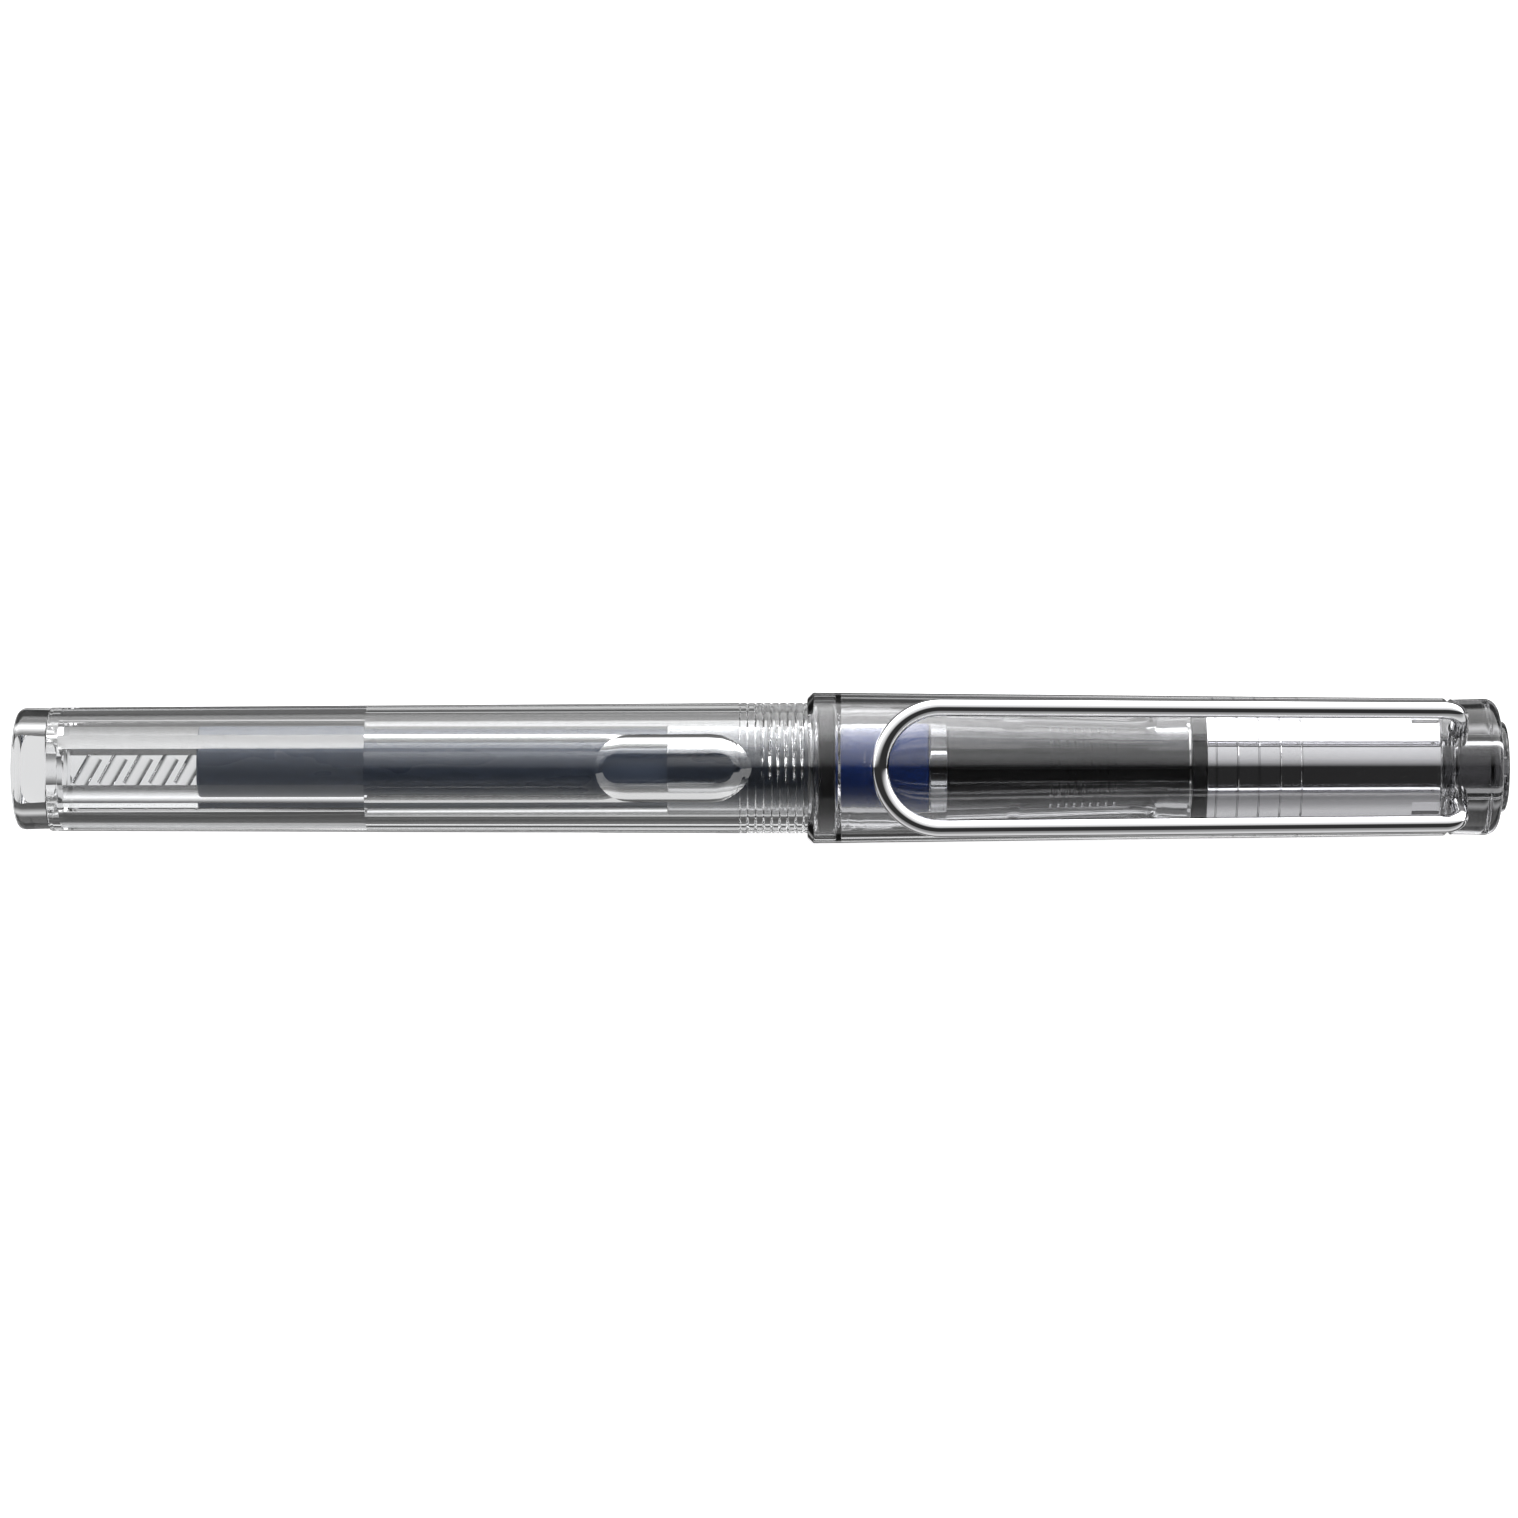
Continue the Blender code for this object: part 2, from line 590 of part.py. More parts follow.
def facet_cutter(name, side, grip_start, ring_start):
    """What pares one finger facet off the grip. It starts shallow behind and ends in a slope."""
    half = COLLAR_RADIUS
    start_height = COLLAR_RADIUS - FACET_START_DEPTH
    end_height = NOSE_RADIUS - FACET_DEPTH
    stations = (
        (grip_start, COLLAR_RADIUS + FACET_DEPTH),
        (grip_start + COLLAR_LENGTH / 2, start_height),
        (ring_start - COLLAR_LENGTH / 2, end_height),
        (ring_start - COLLAR_LENGTH / 6, end_height),
        (ring_start + NOSE_RING_LENGTH * 0.2, NOSE_RADIUS + FACET_DEPTH),
    )
    top = COLLAR_RADIUS + 2 * FACET_DEPTH
    turn = Matrix.Rotation(-side * FACET_ANGLE, 4, "X")
    rings = []
    for x, height in stations:
        corners = ((x, -half, height), (x, half, height), (x, half, top), (x, -half, top))
        rings.append([turn @ Vector(corner) for corner in corners])
    return lofted(name, rings)


def make_feed():
    seat = CARTRIDGE_FRONT + SLIDE_GAP
    collar_front = FEED_TAIL - SEAT_GAP
    turned(
        "feed_collar",
        [
            (collar_front, NIPPLE_RADIUS + SEAT_GAP),
            (seat, NIPPLE_RADIUS + SEAT_GAP),
            (seat, SLEEVE_BORE - SEAT_GAP),
            (collar_front - SEAT_GAP, SLEEVE_BORE - SEAT_GAP),
            (collar_front - SEAT_GAP, FEED_RADIUS),
            (collar_front, FEED_RADIUS),
        ],
        CLEAR,
        FACETS,
    )
    nipple_tail = CARTRIDGE_FRONT - NIPPLE_REACH
    turned(
        "feed_nipple",
        [
            (collar_front - SEAT_GAP, NIPPLE_BORE),
            (nipple_tail, NIPPLE_BORE),
            (nipple_tail, NIPPLE_RADIUS * 0.72),
            (nipple_tail + NIPPLE_RADIUS * 0.5, NIPPLE_RADIUS),
            (collar_front - SEAT_GAP, NIPPLE_RADIUS),
        ],
        BLACK,
        SMALL_FACETS,
    )
    root = FEED_RADIUS - FIN_DEPTH
    profile = [(FEED_TAIL, 0.0), (FEED_TAIL, FEED_RADIUS)]
    for fin in range(FIN_COUNT):
        start = FIN_TAIL + FIN_PITCH * fin
        profile += [
            (start, FEED_RADIUS),
            (start, root),
            (start + FIN_PITCH / 2, root),
            (start + FIN_PITCH / 2, FEED_RADIUS),
        ]
    body_front = NOSE + NIB_SHOULDER / 2
    profile += [(body_front, FEED_RADIUS), (body_front, 0.0)]
    feed = turned("feed", profile, BLACK, SMALL_FACETS)
    boolean(feed, feed_nose(body_front), "UNION")
    spine = box(
        "feed_spine",
        (FIN_TAIL - FIN_PITCH, -FEED_NECK_RADIUS / 2, -root / 2),
        (FIN_TAIL + FIN_PITCH * (FIN_COUNT + 1), FEED_NECK_RADIUS / 2, FEED_RADIUS - SLIDE_GAP),
    )
    boolean(feed, spine, "UNION")
    channel = box(
        "ink_channel_cutter",
        (FEED_TAIL - SEAT_GAP, -NIB_SLIT, FEED_RADIUS - 0.8 * FIN_DEPTH),
        (FEED_FRONT + FIN_PITCH, NIB_SLIT, FEED_RADIUS + FIN_DEPTH),
    )
    boolean(feed, channel)


def nib_line(x):
    """Half-width, height of the crown's underside and arc radius of the nib at x."""
    share = max(0.0, min(1.0, (x - NOSE - NIB_SHOULDER) / (NIB_REACH - NIB_SHOULDER)))
    arc = FEED_RADIUS + SLIDE_GAP
    widest = arc * math.sin(NIB_HALF_ANGLE)
    half_width = widest + (NIB_TIP_HALF_WIDTH - widest) * share**0.8
    return half_width, arc - NIB_DROOP * share**1.5, arc


def feed_nose(body_front):
    """The tapering front of the feed, which stays under the nib."""
    rings = []
    steps = 6
    for step in range(steps + 1):
        share = step / steps
        x = body_front - FIN_PITCH + (FEED_FRONT - body_front + FIN_PITCH) * share
        half_width, crown, _ = nib_line(x)
        top = crown - SLIDE_GAP
        reach = min(FEED_RADIUS * 0.94, half_width - SLIDE_GAP) * 0.86
        depth = FEED_RADIUS * 1.65 * (1 - 0.78 * share)
        ring = []
        for corner in range(12):
            angle = 2 * math.pi * corner / 12
            drop = depth / 2 * (1 - math.cos(angle))
            ring.append((x, reach * math.sin(angle), top - SLIDE_GAP - drop))
        rings.append(ring)
    return lofted("feed_nose", rings)


def make_nib():
    columns, rows = 10, 18
    shape = bmesh.new()
    grid = []
    for row in range(rows + 1):
        x = NIB_TAIL + (NIB_TIP - NIB_TAIL) * row / rows
        half_width, crown, arc = nib_line(x)
        span = math.asin(min(1.0, half_width / arc))
        line = []
        for column in range(columns + 1):
            angle = span * (2 * column / columns - 1)
            height = crown - arc * (1 - math.cos(angle))
            line.append(shape.verts.new((x, arc * math.sin(angle), height)))
        grid.append(line)
    for lower, upper in zip(grid, grid[1:]):
        for i in range(columns):
            shape.faces.new((lower[i], upper[i], upper[i + 1], lower[i + 1]))
    nib = from_bmesh("nib", shape, STEEL)
    sheet = nib.modifiers.new("thickness", "SOLIDIFY")
    sheet.thickness = NIB_THICKNESS
    sheet.offset = 1.0
    hole_place = NOSE + NIB_REACH * NIB_HOLE_SHARE
    reach = 2 * FEED_RADIUS
    above = (hole_place, 0, reach)
    boolean(nib, rod("breather_cutter", (hole_place, 0, 0), above, NIB_HOLE_RADIUS, facets=12))
    half_slit = NIB_SLIT / 2
    slit = box("slit_cutter", (hole_place, -half_slit, 0), (NIB_TIP + reach, half_slit, reach))
    boolean(nib, slit)
    _, crown, _ = nib_line(NIB_TIP)
    shape = bmesh.new()
    bmesh.ops.create_uvsphere(shape, u_segments=12, v_segments=8, radius=TIPPING_RADIUS)
    place_of_ball = (NIB_TIP + TIPPING_RADIUS + SEAT_GAP, 0, crown + NIB_THICKNESS / 2)
    bmesh.ops.translate(shape, vec=place_of_ball, verts=shape.verts)
    from_bmesh("nib_tipping", shape, STEEL)


# ---------------------------------------------------------------- cartridge


def make_cartridge():
    bore = CARTRIDGE_RADIUS - CARTRIDGE_WALL
    corner = CARTRIDGE_CORNER
    mouth_tail = CARTRIDGE_FRONT - CARTRIDGE_MOUTH_LENGTH
    tail_wall = 2 * CARTRIDGE_WALL
    turned(
        "cartridge_shell",
        [
            (CARTRIDGE_TAIL + tail_wall, 0.0),
            (CARTRIDGE_TAIL + tail_wall, bore),
            (mouth_tail, bore),
            (mouth_tail, CARTRIDGE_MOUTH_RADIUS),
            (CARTRIDGE_FRONT, CARTRIDGE_MOUTH_RADIUS),
            (CARTRIDGE_FRONT, CARTRIDGE_RADIUS - corner),
            (CARTRIDGE_FRONT - corner, CARTRIDGE_RADIUS),
            (CARTRIDGE_TAIL + corner, CARTRIDGE_RADIUS),
            (CARTRIDGE_TAIL, CARTRIDGE_RADIUS - corner),
            (CARTRIDGE_TAIL, 0.0),
        ],
        MILKY,
        FACETS,
    )
    ball_x = CARTRIDGE_FRONT - BALL_SETBACK
    ball_z = -(bore - SLIDE_GAP - BALL_RADIUS)
    shape = bmesh.new()
    bmesh.ops.create_uvsphere(shape, u_segments=16, v_segments=10, radius=BALL_RADIUS)
    bmesh.ops.translate(shape, vec=(ball_x, 0, ball_z), verts=shape.verts)
    from_bmesh("cartridge_seal_ball", shape, BLACK)
    ink = turned(
        "ink_charge",
        [
            (CARTRIDGE_FRONT - NIPPLE_REACH - SLIDE_GAP, 0.0),
            (CARTRIDGE_FRONT - NIPPLE_REACH - SLIDE_GAP, bore - SEAT_GAP),
            (CARTRIDGE_TAIL + tail_wall + SEAT_GAP, bore - SEAT_GAP),
            (CARTRIDGE_TAIL + tail_wall + SEAT_GAP, 0.0),
        ],
        INK,
        FACETS,
    )
    shape = bmesh.new()
    bmesh.ops.create_uvsphere(shape, u_segments=16, v_segments=10, radius=BALL_RADIUS + SLIDE_GAP)
    bmesh.ops.translate(shape, vec=(ball_x, 0, ball_z), verts=shape.verts)
    boolean(ink, from_bmesh("ball_pocket_cutter", shape))


# ---------------------------------------------------------------- cap, inner cap, finial


def clip_direction():
    """Unit vector from the axis to a clip leg, in the plane across the pen at the clip's root."""
    return Vector((0.0, CLIP_ROOT_HALF_WIDTH, clip_height_at(CLIP_ROOT))).normalized()


def clip_height_at(x):
    """Height of the wire's middle above the axis. It only comes near the cap at the bow."""
    share = (x - CLIP_BOW) / CLIP_REACH
    rest = cap_radius_at(CLIP_BOW) + CLIP_TOUCH_GAP + WIRE_RADIUS
    return rest + CLIP_CROWN * math.sin(math.pi * max(0.0, min(1.0, share)))


def clip_hole_cutter(label, side):
    along = clip_direction()
    along.y *= side
    root = Vector((CLIP_ROOT, 0, 0))
    inner = cap_radius_at(CLIP_ROOT) - CLIP_ANCHOR_DEPTH - CLIP_HOLE_GAP
    outer = cap_radius_at(CLIP_ROOT) + 2 * WIRE_RADIUS
    return rod(
        f"clip_hole_cutter_{label}", root + along * inner, root + along * outer, WIRE_RADIUS + CLIP_HOLE_GAP
    )


def make_cap():
    bore_at_step = CAP_LIP_BORE - CAP_STEP
    seat = CAP_SEAL_TAIL - SEAT_GAP
    outer = [
        (CAP_LIP, CAP_LIP_BORE + CAP_WALL - CAP_LIP_CHAMFER),
        (CAP_LIP + CAP_LIP_CHAMFER, cap_radius_at(CAP_LIP + CAP_LIP_CHAMFER)),
        (CAP_END - CAP_END_CHAMFER, cap_radius_at(CAP_END - CAP_END_CHAMFER)),
        (CAP_END, CAP_END_RADIUS - CAP_END_CHAMFER),
    ]
    inner = [(CAP_END, CAP_END_BORE)]
    for ring in reversed(range(CAP_RING_COUNT)):
        start = INNER_CAP_RIM + CAP_RING_START + CAP_RING_PITCH * ring
        inner += [
            (start + CAP_RING_WIDTH, CAP_END_BORE),
            (start + CAP_RING_WIDTH / 2, CAP_END_BORE + CAP_RING_DEPTH),
            (start, CAP_END_BORE),
        ]
    inner += [
        (seat, CAP_END_BORE),
        (CAP_STEP_PLACE + CAP_STEP, bore_at_step),
        (CAP_STEP_PLACE, CAP_LIP_BORE),
        (CAP_LIP, CAP_LIP_BORE),
    ]
    cap = turned("cap_shell", inner + outer, SMOKE)
    for label, side in (("left", 1), ("right", -1)):
        boolean(cap, clip_hole_cutter(label, side))

    wall = INNER_CAP_WALL
    taper = INNER_CAP_TAPER
    inner_cap = turned(
        "inner_cap",
        [
            (INNER_CAP_BACK - INNER_CAP_END, 0.0),
            (INNER_CAP_BACK - INNER_CAP_END, INNER_CAP_RADIUS - wall - taper),
            (INNER_CAP_RIM, INNER_CAP_RADIUS - wall),
            (INNER_CAP_RIM, INNER_CAP_RADIUS),
            (INNER_CAP_BACK, INNER_CAP_RADIUS - taper),
            (INNER_CAP_BACK, 0.0),
        ],
        CHROME,
    )
    for key in range(KEYWAY_COUNT):
        turn = math.pi / 4 + 2 * math.pi * key / KEYWAY_COUNT
        floor = INNER_CAP_RADIUS - taper - KEYWAY_DEPTH
        keyway = box(
            f"keyway_cutter_{key}",
            (INNER_CAP_BACK - KEYWAY_LENGTH, -KEYWAY_WIDTH / 2, floor),
            (INNER_CAP_BACK + KEYWAY_LENGTH, KEYWAY_WIDTH / 2, floor + 4 * KEYWAY_DEPTH),
        )
        keyway.rotation_euler.x = turn
        boolean(inner_cap, keyway)

    seal_front = CAP_SEAL_TAIL + CAP_SEAL_WIDTH
    turned(
        "inner_cap_seal",
        [
            (seal_front, INNER_CAP_RADIUS - CAP_SEAL_HEIGHT),
            (CAP_SEAL_TAIL, INNER_CAP_RADIUS - CAP_SEAL_HEIGHT),
            (CAP_SEAL_TAIL, INNER_CAP_RADIUS),
            (seal_front, INNER_CAP_RADIUS),
        ],
        RUBBER,
    )


def make_finial():
    spigot = CAP_END_BORE - FINIAL_SPIGOT_GAP
    bore = FINIAL_PLUG_STEM_RADIUS + SEAT_GAP
    profile = [
        (FINIAL_END, bore),
        (SPIGOT_TAIL, bore),
        (SPIGOT_TAIL, spigot),
        (FINIAL_START, spigot),
        (FINIAL_START, FINIAL_RADIUS - CAP_END_CHAMFER),
        (FINIAL_START + CAP_END_CHAMFER, FINIAL_RADIUS),
    ]
    for step in range(6):
        angle = math.pi / 2 * step / 5
        profile.append(
            (
                FINIAL_END - FINIAL_CORNER + FINIAL_CORNER * math.sin(angle),
                FINIAL_RADIUS - FINIAL_CORNER + FINIAL_CORNER * math.cos(angle),
            )
        )
    finial = turned("finial", profile, SMOKE)
    for label in ("left", "right"):
        boolean(finial, bpy.data.objects[f"clip_hole_cutter_{label}"])

    head_tail = FINIAL_END + SEAT_GAP
    head_front = head_tail + FINIAL_PLUG_HEAD
    head = FINIAL_PLUG_HEAD_RADIUS
    plug = turned(
        "finial_plug",
        [
            (head_front, 0.0),
            (head_front, head * 0.86),
            (head_front - 0.25 * FINIAL_PLUG_HEAD, head * 0.96),
            (head_front - 0.6 * FINIAL_PLUG_HEAD, head),
            (head_tail, head),
            (head_tail, FINIAL_PLUG_STEM_RADIUS),
            (SPIGOT_TAIL + SEAT_GAP, FINIAL_PLUG_STEM_RADIUS),
            (SPIGOT_TAIL + SEAT_GAP, 0.0),
        ],
        SMOKE,
        FACETS,
    )
    half = FINIAL_CROSS_WIDTH / 2
    reach = FINIAL_CROSS_REACH
    floor = head_front - FINIAL_CROSS_DEPTH
    deep = half + FINIAL_PLUG_STEM_RADIUS / 4
    shallow = head_front - 0.4 * FINIAL_PLUG_HEAD
    past = head_front + reach
    boolean(plug, box("cross_cutter_across", (shallow, -reach, -half), (past, reach, half)))
    boolean(plug, box("cross_cutter_up", (shallow, -half, -reach), (past, half, reach)))
    boolean(plug, box("cross_cutter_deep", (floor, -deep, -half), (past, deep, half)))


# ---------------------------------------------------------------- clip


def clip_half():
    """Points of the wire's middle line on the +Y side, from its end inside the cap to the bow."""
    along = clip_direction()
    root = Vector((CLIP_ROOT, 0, 0))
    inner = cap_radius_at(CLIP_ROOT) - CLIP_ANCHOR_DEPTH
    corner = root + along * (CLIP_ROOT_HALF_WIDTH / along.y)
    points = [root + along * inner, root + along * (inner + CLIP_ANCHOR_DEPTH)]
    bend_steps = 6
    for step in range(bend_steps + 1):
        angle = math.pi / 2 * step / bend_steps
        back = Vector((-1, 0, 0)) * CLIP_BEND_RADIUS * (1 - math.cos(angle))
        down = -along * CLIP_BEND_RADIUS * (1 - math.sin(angle))
        points.append(corner + back + down)
    bow_middle = CLIP_BOW + CLIP_BOW_HALF_WIDTH
    leg_tail = CLIP_ROOT - CLIP_BEND_RADIUS
    leg_steps = 8
    for step in range(1, leg_steps + 1):
        share = step / leg_steps
        x = leg_tail + (bow_middle - leg_tail) * share
        half_width = CLIP_ROOT_HALF_WIDTH + (CLIP_BOW_HALF_WIDTH - CLIP_ROOT_HALF_WIDTH) * share
        points.append(Vector((x, half_width, clip_height_at(x))))
    bow_steps = 8
    for step in range(1, bow_steps + 1):
        angle = math.pi / 2 * step / bow_steps
        x = bow_middle - CLIP_BOW_HALF_WIDTH * math.sin(angle)
        points.append(Vector((x, CLIP_BOW_HALF_WIDTH * math.cos(angle), clip_height_at(x))))
    return points


def make_clip():
    half = clip_half()
    other = [Vector((p.x, -p.y, p.z)) for p in reversed(half[:-1])]
    line = half + other
    curve = bpy.data.curves.new("clip_wire", "CURVE")
    curve.dimensions = "3D"
    curve.bevel_depth = WIRE_RADIUS
    curve.bevel_resolution = 2
    curve.use_fill_caps = True
    spline = curve.splines.new("POLY")
    spline.points.add(len(line) - 1)
    for point, where in zip(spline.points, line):
        point.co = (*where, 1)
    clip = bpy.data.objects.new("clip_wire", curve)
    curve.materials.append(CHROME)
    pen.objects.link(clip)


make_barrel()
make_end_plug()
make_seal_ring()
make_section()
make_feed()
make_nib()
make_cartridge()
make_cap()
make_finial()
make_clip()

# ---------------------------------------------------------------- frame and joint axes


def empty(name, where, parent=None):
    """A marker on a joint's axis, placed in the same lengths along the pen as its pieces."""
    made = bpy.data.objects.new(name, None)
    made.empty_display_size = CAP_LIP_RADIUS
    made.location = where
    made.parent = parent
    pen.objects.link(made)
    return made


def carry(pivot, names):
    """Parents pieces to their joint's marker and leaves them where they were drawn."""
    for name in names:
        piece = bpy.data.objects[name]
        piece.parent = pivot
        piece.matrix_parent_inverse = Matrix.Translation(-pivot.location)


lowest = cap_radius_at(CAP_LIP + CAP_LIP_CHAMFER)
frame = empty("pen_frame", (0, 0, 0))
clip_anchor = clip_direction() * (cap_radius_at(CLIP_ROOT) - CLIP_ANCHOR_DEPTH / 2)
seal_slide = empty("section_advance", (BARREL_FRONT, 0, 0), frame)
section_turn = empty("section_unscrew", (SHOULDER, 0, 0), frame)
cartridge_slide = empty("cartridge_pull", (CARTRIDGE_FRONT, 0, 0), frame)
cap_slide = empty("cap_pull", (CAP_LIP, 0, 0), frame)
clip_turn = empty("clip_flex", (CLIP_ROOT, 0, clip_anchor.z), frame)

carry(seal_slide, ["barrel_seal_ring"])
carry(section_turn, ["grip_section", "feed", "feed_collar", "feed_nipple", "nib", "nib_tipping"])
carry(cartridge_slide, ["cartridge_shell", "cartridge_seal_ball", "ink_charge"])
carry(cap_slide, ["cap_shell", "inner_cap", "inner_cap_seal", "finial", "finial_plug"])
carry(clip_turn, ["clip_wire"])
carry(frame, ["barrel", "barrel_end_plug", *(cutter.name for cutter in cutters.objects)])
frame.location = (-PEN_LENGTH / 2, 0, lowest)
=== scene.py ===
"""Looks for the fountain pen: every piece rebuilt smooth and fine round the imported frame.

Shapes are drawn in millimetres with the pen's axis on X and the tail's end at X = 0. The pen's place
in the row frame is read from the frame's boxes.
"""

import math

import bmesh
import bpy
from mathutils import Matrix, Vector


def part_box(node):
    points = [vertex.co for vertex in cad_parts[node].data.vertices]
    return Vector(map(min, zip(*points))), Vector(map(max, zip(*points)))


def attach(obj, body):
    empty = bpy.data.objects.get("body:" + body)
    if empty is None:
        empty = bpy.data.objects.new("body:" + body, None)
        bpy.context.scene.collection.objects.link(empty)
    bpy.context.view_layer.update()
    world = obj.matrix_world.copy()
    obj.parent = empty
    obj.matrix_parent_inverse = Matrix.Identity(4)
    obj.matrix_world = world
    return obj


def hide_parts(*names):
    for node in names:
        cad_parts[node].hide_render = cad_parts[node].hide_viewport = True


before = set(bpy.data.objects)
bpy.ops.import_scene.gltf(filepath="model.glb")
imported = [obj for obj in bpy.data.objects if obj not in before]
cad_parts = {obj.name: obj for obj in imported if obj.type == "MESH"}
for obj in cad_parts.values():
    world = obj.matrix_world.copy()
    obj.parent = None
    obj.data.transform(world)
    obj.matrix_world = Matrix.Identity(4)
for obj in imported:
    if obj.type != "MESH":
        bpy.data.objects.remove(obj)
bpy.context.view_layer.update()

MM = 0.001
AROUND = 160
FINE = 96

# ---------------------------------------------------------------- sizes read from the frame

tail_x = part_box("barrel_end_plug")[0].x
cap_low, cap_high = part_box("cap_shell")
AXIS = Vector((tail_x, 0.0, (cap_low.z + cap_high.z) / 2))


def span(node):
    """Where a node starts and ends along the pen, and its radius, in millimetres."""
    low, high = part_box(node)
    return (low.x - tail_x) / MM, (high.x - tail_x) / MM, high.y / MM


def heights(node):
    """A node's lowest and highest points over the axis, in millimetres."""
    low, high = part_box(node)
    return (low.z - AXIS.z) / MM, (high.z - AXIS.z) / MM


_, PLUG_FRONT, PLUG_RADIUS = span("barrel_end_plug")
BARREL_TAIL, BARREL_FRONT, BARREL_RADIUS = span("barrel")
SEAL_TAIL, SEAL_FRONT, SEAL_RADIUS = span("barrel_seal_ring")
SLEEVE_TAIL, NOSE, COLLAR_RING_RADIUS = span("grip_section")
FEED_COLLAR_TAIL, FEED_COLLAR_FRONT, FEED_COLLAR_RADIUS = span("feed_collar")
NIPPLE_TAIL, NIPPLE_FRONT, NIPPLE_RADIUS = span("feed_nipple")
FEED_TAIL, FEED_FRONT, FEED_RADIUS = span("feed")
NIB_TAIL, NIB_TIP, _ = span("nib")
CARTRIDGE_TAIL, CARTRIDGE_FRONT, CARTRIDGE_RADIUS = span("cartridge_shell")
INK_TAIL, INK_FRONT, INK_RADIUS = span("ink_charge")
CAP_LIP, CAP_END, CAP_LIP_RADIUS = span("cap_shell")
INNER_CAP_RIM, INNER_CAP_BACK, INNER_CAP_RADIUS = span("inner_cap")
CAP_SEAL_TAIL, CAP_SEAL_FRONT, CAP_SEAL_RADIUS = span("inner_cap_seal")
SPIGOT_TAIL, FINIAL_END, FINIAL_RADIUS = span("finial")
STEM_TAIL, PEN_END, HEAD_RADIUS = span("finial_plug")
CLIP_TAIL, CLIP_FRONT, CLIP_HALF_WIDTH = span("clip_wire")
CLIP_LOW, CLIP_TOP = heights("clip_wire")

# ---------------------------------------------------------------- details of each piece

SEAT_GAP = 0.05
SLIDE_GAP = 0.12
THREAD_PITCH = 0.742
THREAD_HEIGHT = 0.05
THREAD_TURNS = 6

BORE = 4.44
BARREL_TAIL_RADIUS = BARREL_RADIUS - 0.32
RIB_COUNT = 8
RIB_PITCH = 0.742
RIB_DEPTH = 0.14
RIB_INSET = 1.35
RIB_TAIL = BARREL_FRONT - RIB_INSET - RIB_PITCH * RIB_COUNT
LIP_CHAMFER = 0.25
FLAT_HALF_WIDTH = 3.14
FLAT_FRONT = BARREL_FRONT - 8.9
WINDOW_FRONT = BARREL_FRONT - 7.8
WINDOW_TAIL = WINDOW_FRONT - 12.2
WINDOW_HALF_WIDTH = 1.38
WINDOW_RIM = 0.04
DISH_WIDTH = 1.80
DISH_LENGTH = 1.6
FACETS_FRONT = BARREL_TAIL + 29.35
FACET_CORNERS = (22.5, 49.5, 90.0, 130.5, 157.5)
FACET_CORNER_RADIUS = BORE - SEAT_GAP
FACETS_TURN = math.radians(2.8)
FLUTE_COUNT = 5
FLUTE_PITCH = 2.4
FLUTE_START = 6.2
FLUTE_RADIUS = 0.9
FLUTE_DEPTH = 0.42
FLUTE_REACH = 1.4
FLUTE_SLANT = 0.8

PLUG_HEAD = BARREL_TAIL - SEAT_GAP
PLUG_CORNER = 1.0
PLUG_DOME = 0.28
PLUG_TEETH = 20
PLUG_TOOTH_HEIGHT = 0.22
PLUG_TOOTH_CREST = FACET_CORNER_RADIUS * math.cos(math.pi / 8) + 0.30
PLUG_FLANGE_FRONT = BARREL_TAIL + 0.90
PLUG_RECESS_RADIUS = 2.6
PLUG_RECESS_TAIL = 1.7

CARTRIDGE_BORE = CARTRIDGE_RADIUS - 0.45
CARTRIDGE_END = 0.9
CARTRIDGE_MOUTH_LENGTH = 1.8
CARTRIDGE_MOUTH_RADIUS = 1.45

SLEEVE_BORE = CARTRIDGE_RADIUS + SLIDE_GAP
SLEEVE_RADIUS = SLEEVE_BORE + 0.5
THREAD_CREST = SLEEVE_RADIUS + THREAD_HEIGHT
THREAD_FRONT = BARREL_FRONT - 0.8
THREAD_TAIL = THREAD_FRONT - THREAD_PITCH * THREAD_TURNS
SHOULDER = SEAL_FRONT + SEAT_GAP
COLLAR_RADIUS = COLLAR_RING_RADIUS - 0.12
COLLAR_LENGTH = 4.2
NOSE_RADIUS = COLLAR_RADIUS - 0.75
NOSE_RING_LENGTH = 2.6
NOSE_RING_HEIGHT = 0.18
FACET_ANGLE = math.radians(58)
FACET_DEPTH = 0.80

FIN_COUNT = 9
FIN_PITCH = 0.74
FIN_TAIL = NOSE - 13.1
FIN_DEPTH = 0.80
NIB_HALF_ANGLE = math.radians(78)
NIB_THICKNESS = 0.25
NIB_SHOULDER = 3.0
NIB_TIP_HALF_WIDTH = 0.38
NIB_DROOP = 1.1
NIB_SLIT = 0.06

CAP_STEP = 0.36
CAP_STEP_PLACE = CAP_LIP + 2.7
CAP_BORE_AT_LIP = BARREL_RADIUS + 0.30
CAP_BORE = INNER_CAP_RADIUS + SEAT_GAP
CAP_END_RADIUS = FINIAL_RADIUS + 0.05
CAP_CHAMFER = 0.55
CAP_END_CHAMFER = 0.3
CAP_RING_DEPTH = 0.06
CAP_RING_WIDTH = 0.16
CAP_SEAL_HEIGHT = 1.0
INNER_CAP_WALL = 0.55
INNER_CAP_TAPER = 0.20
INNER_CAP_END = 0.8
KEYWAY_COUNT = 4
KEYWAY_LENGTH = 2.6
KEYWAY_HALF_WIDTH = 0.75
KEYWAY_DEPTH = 0.25
CAP_RING_COUNT = 5
CAP_RING_PITCH = 1.97
CAP_RING_START = INNER_CAP_RIM + 0.75
FINIAL_CORNER = 1.2
FINIAL_SPIGOT_GAP = 0.1
STEM_RADIUS = 2.0
HEAD_LENGTH = 0.70
CROSS_HALF_WIDTH = 0.55
CROSS_REACH = 3.3
CROSS_DEPTH = 0.28
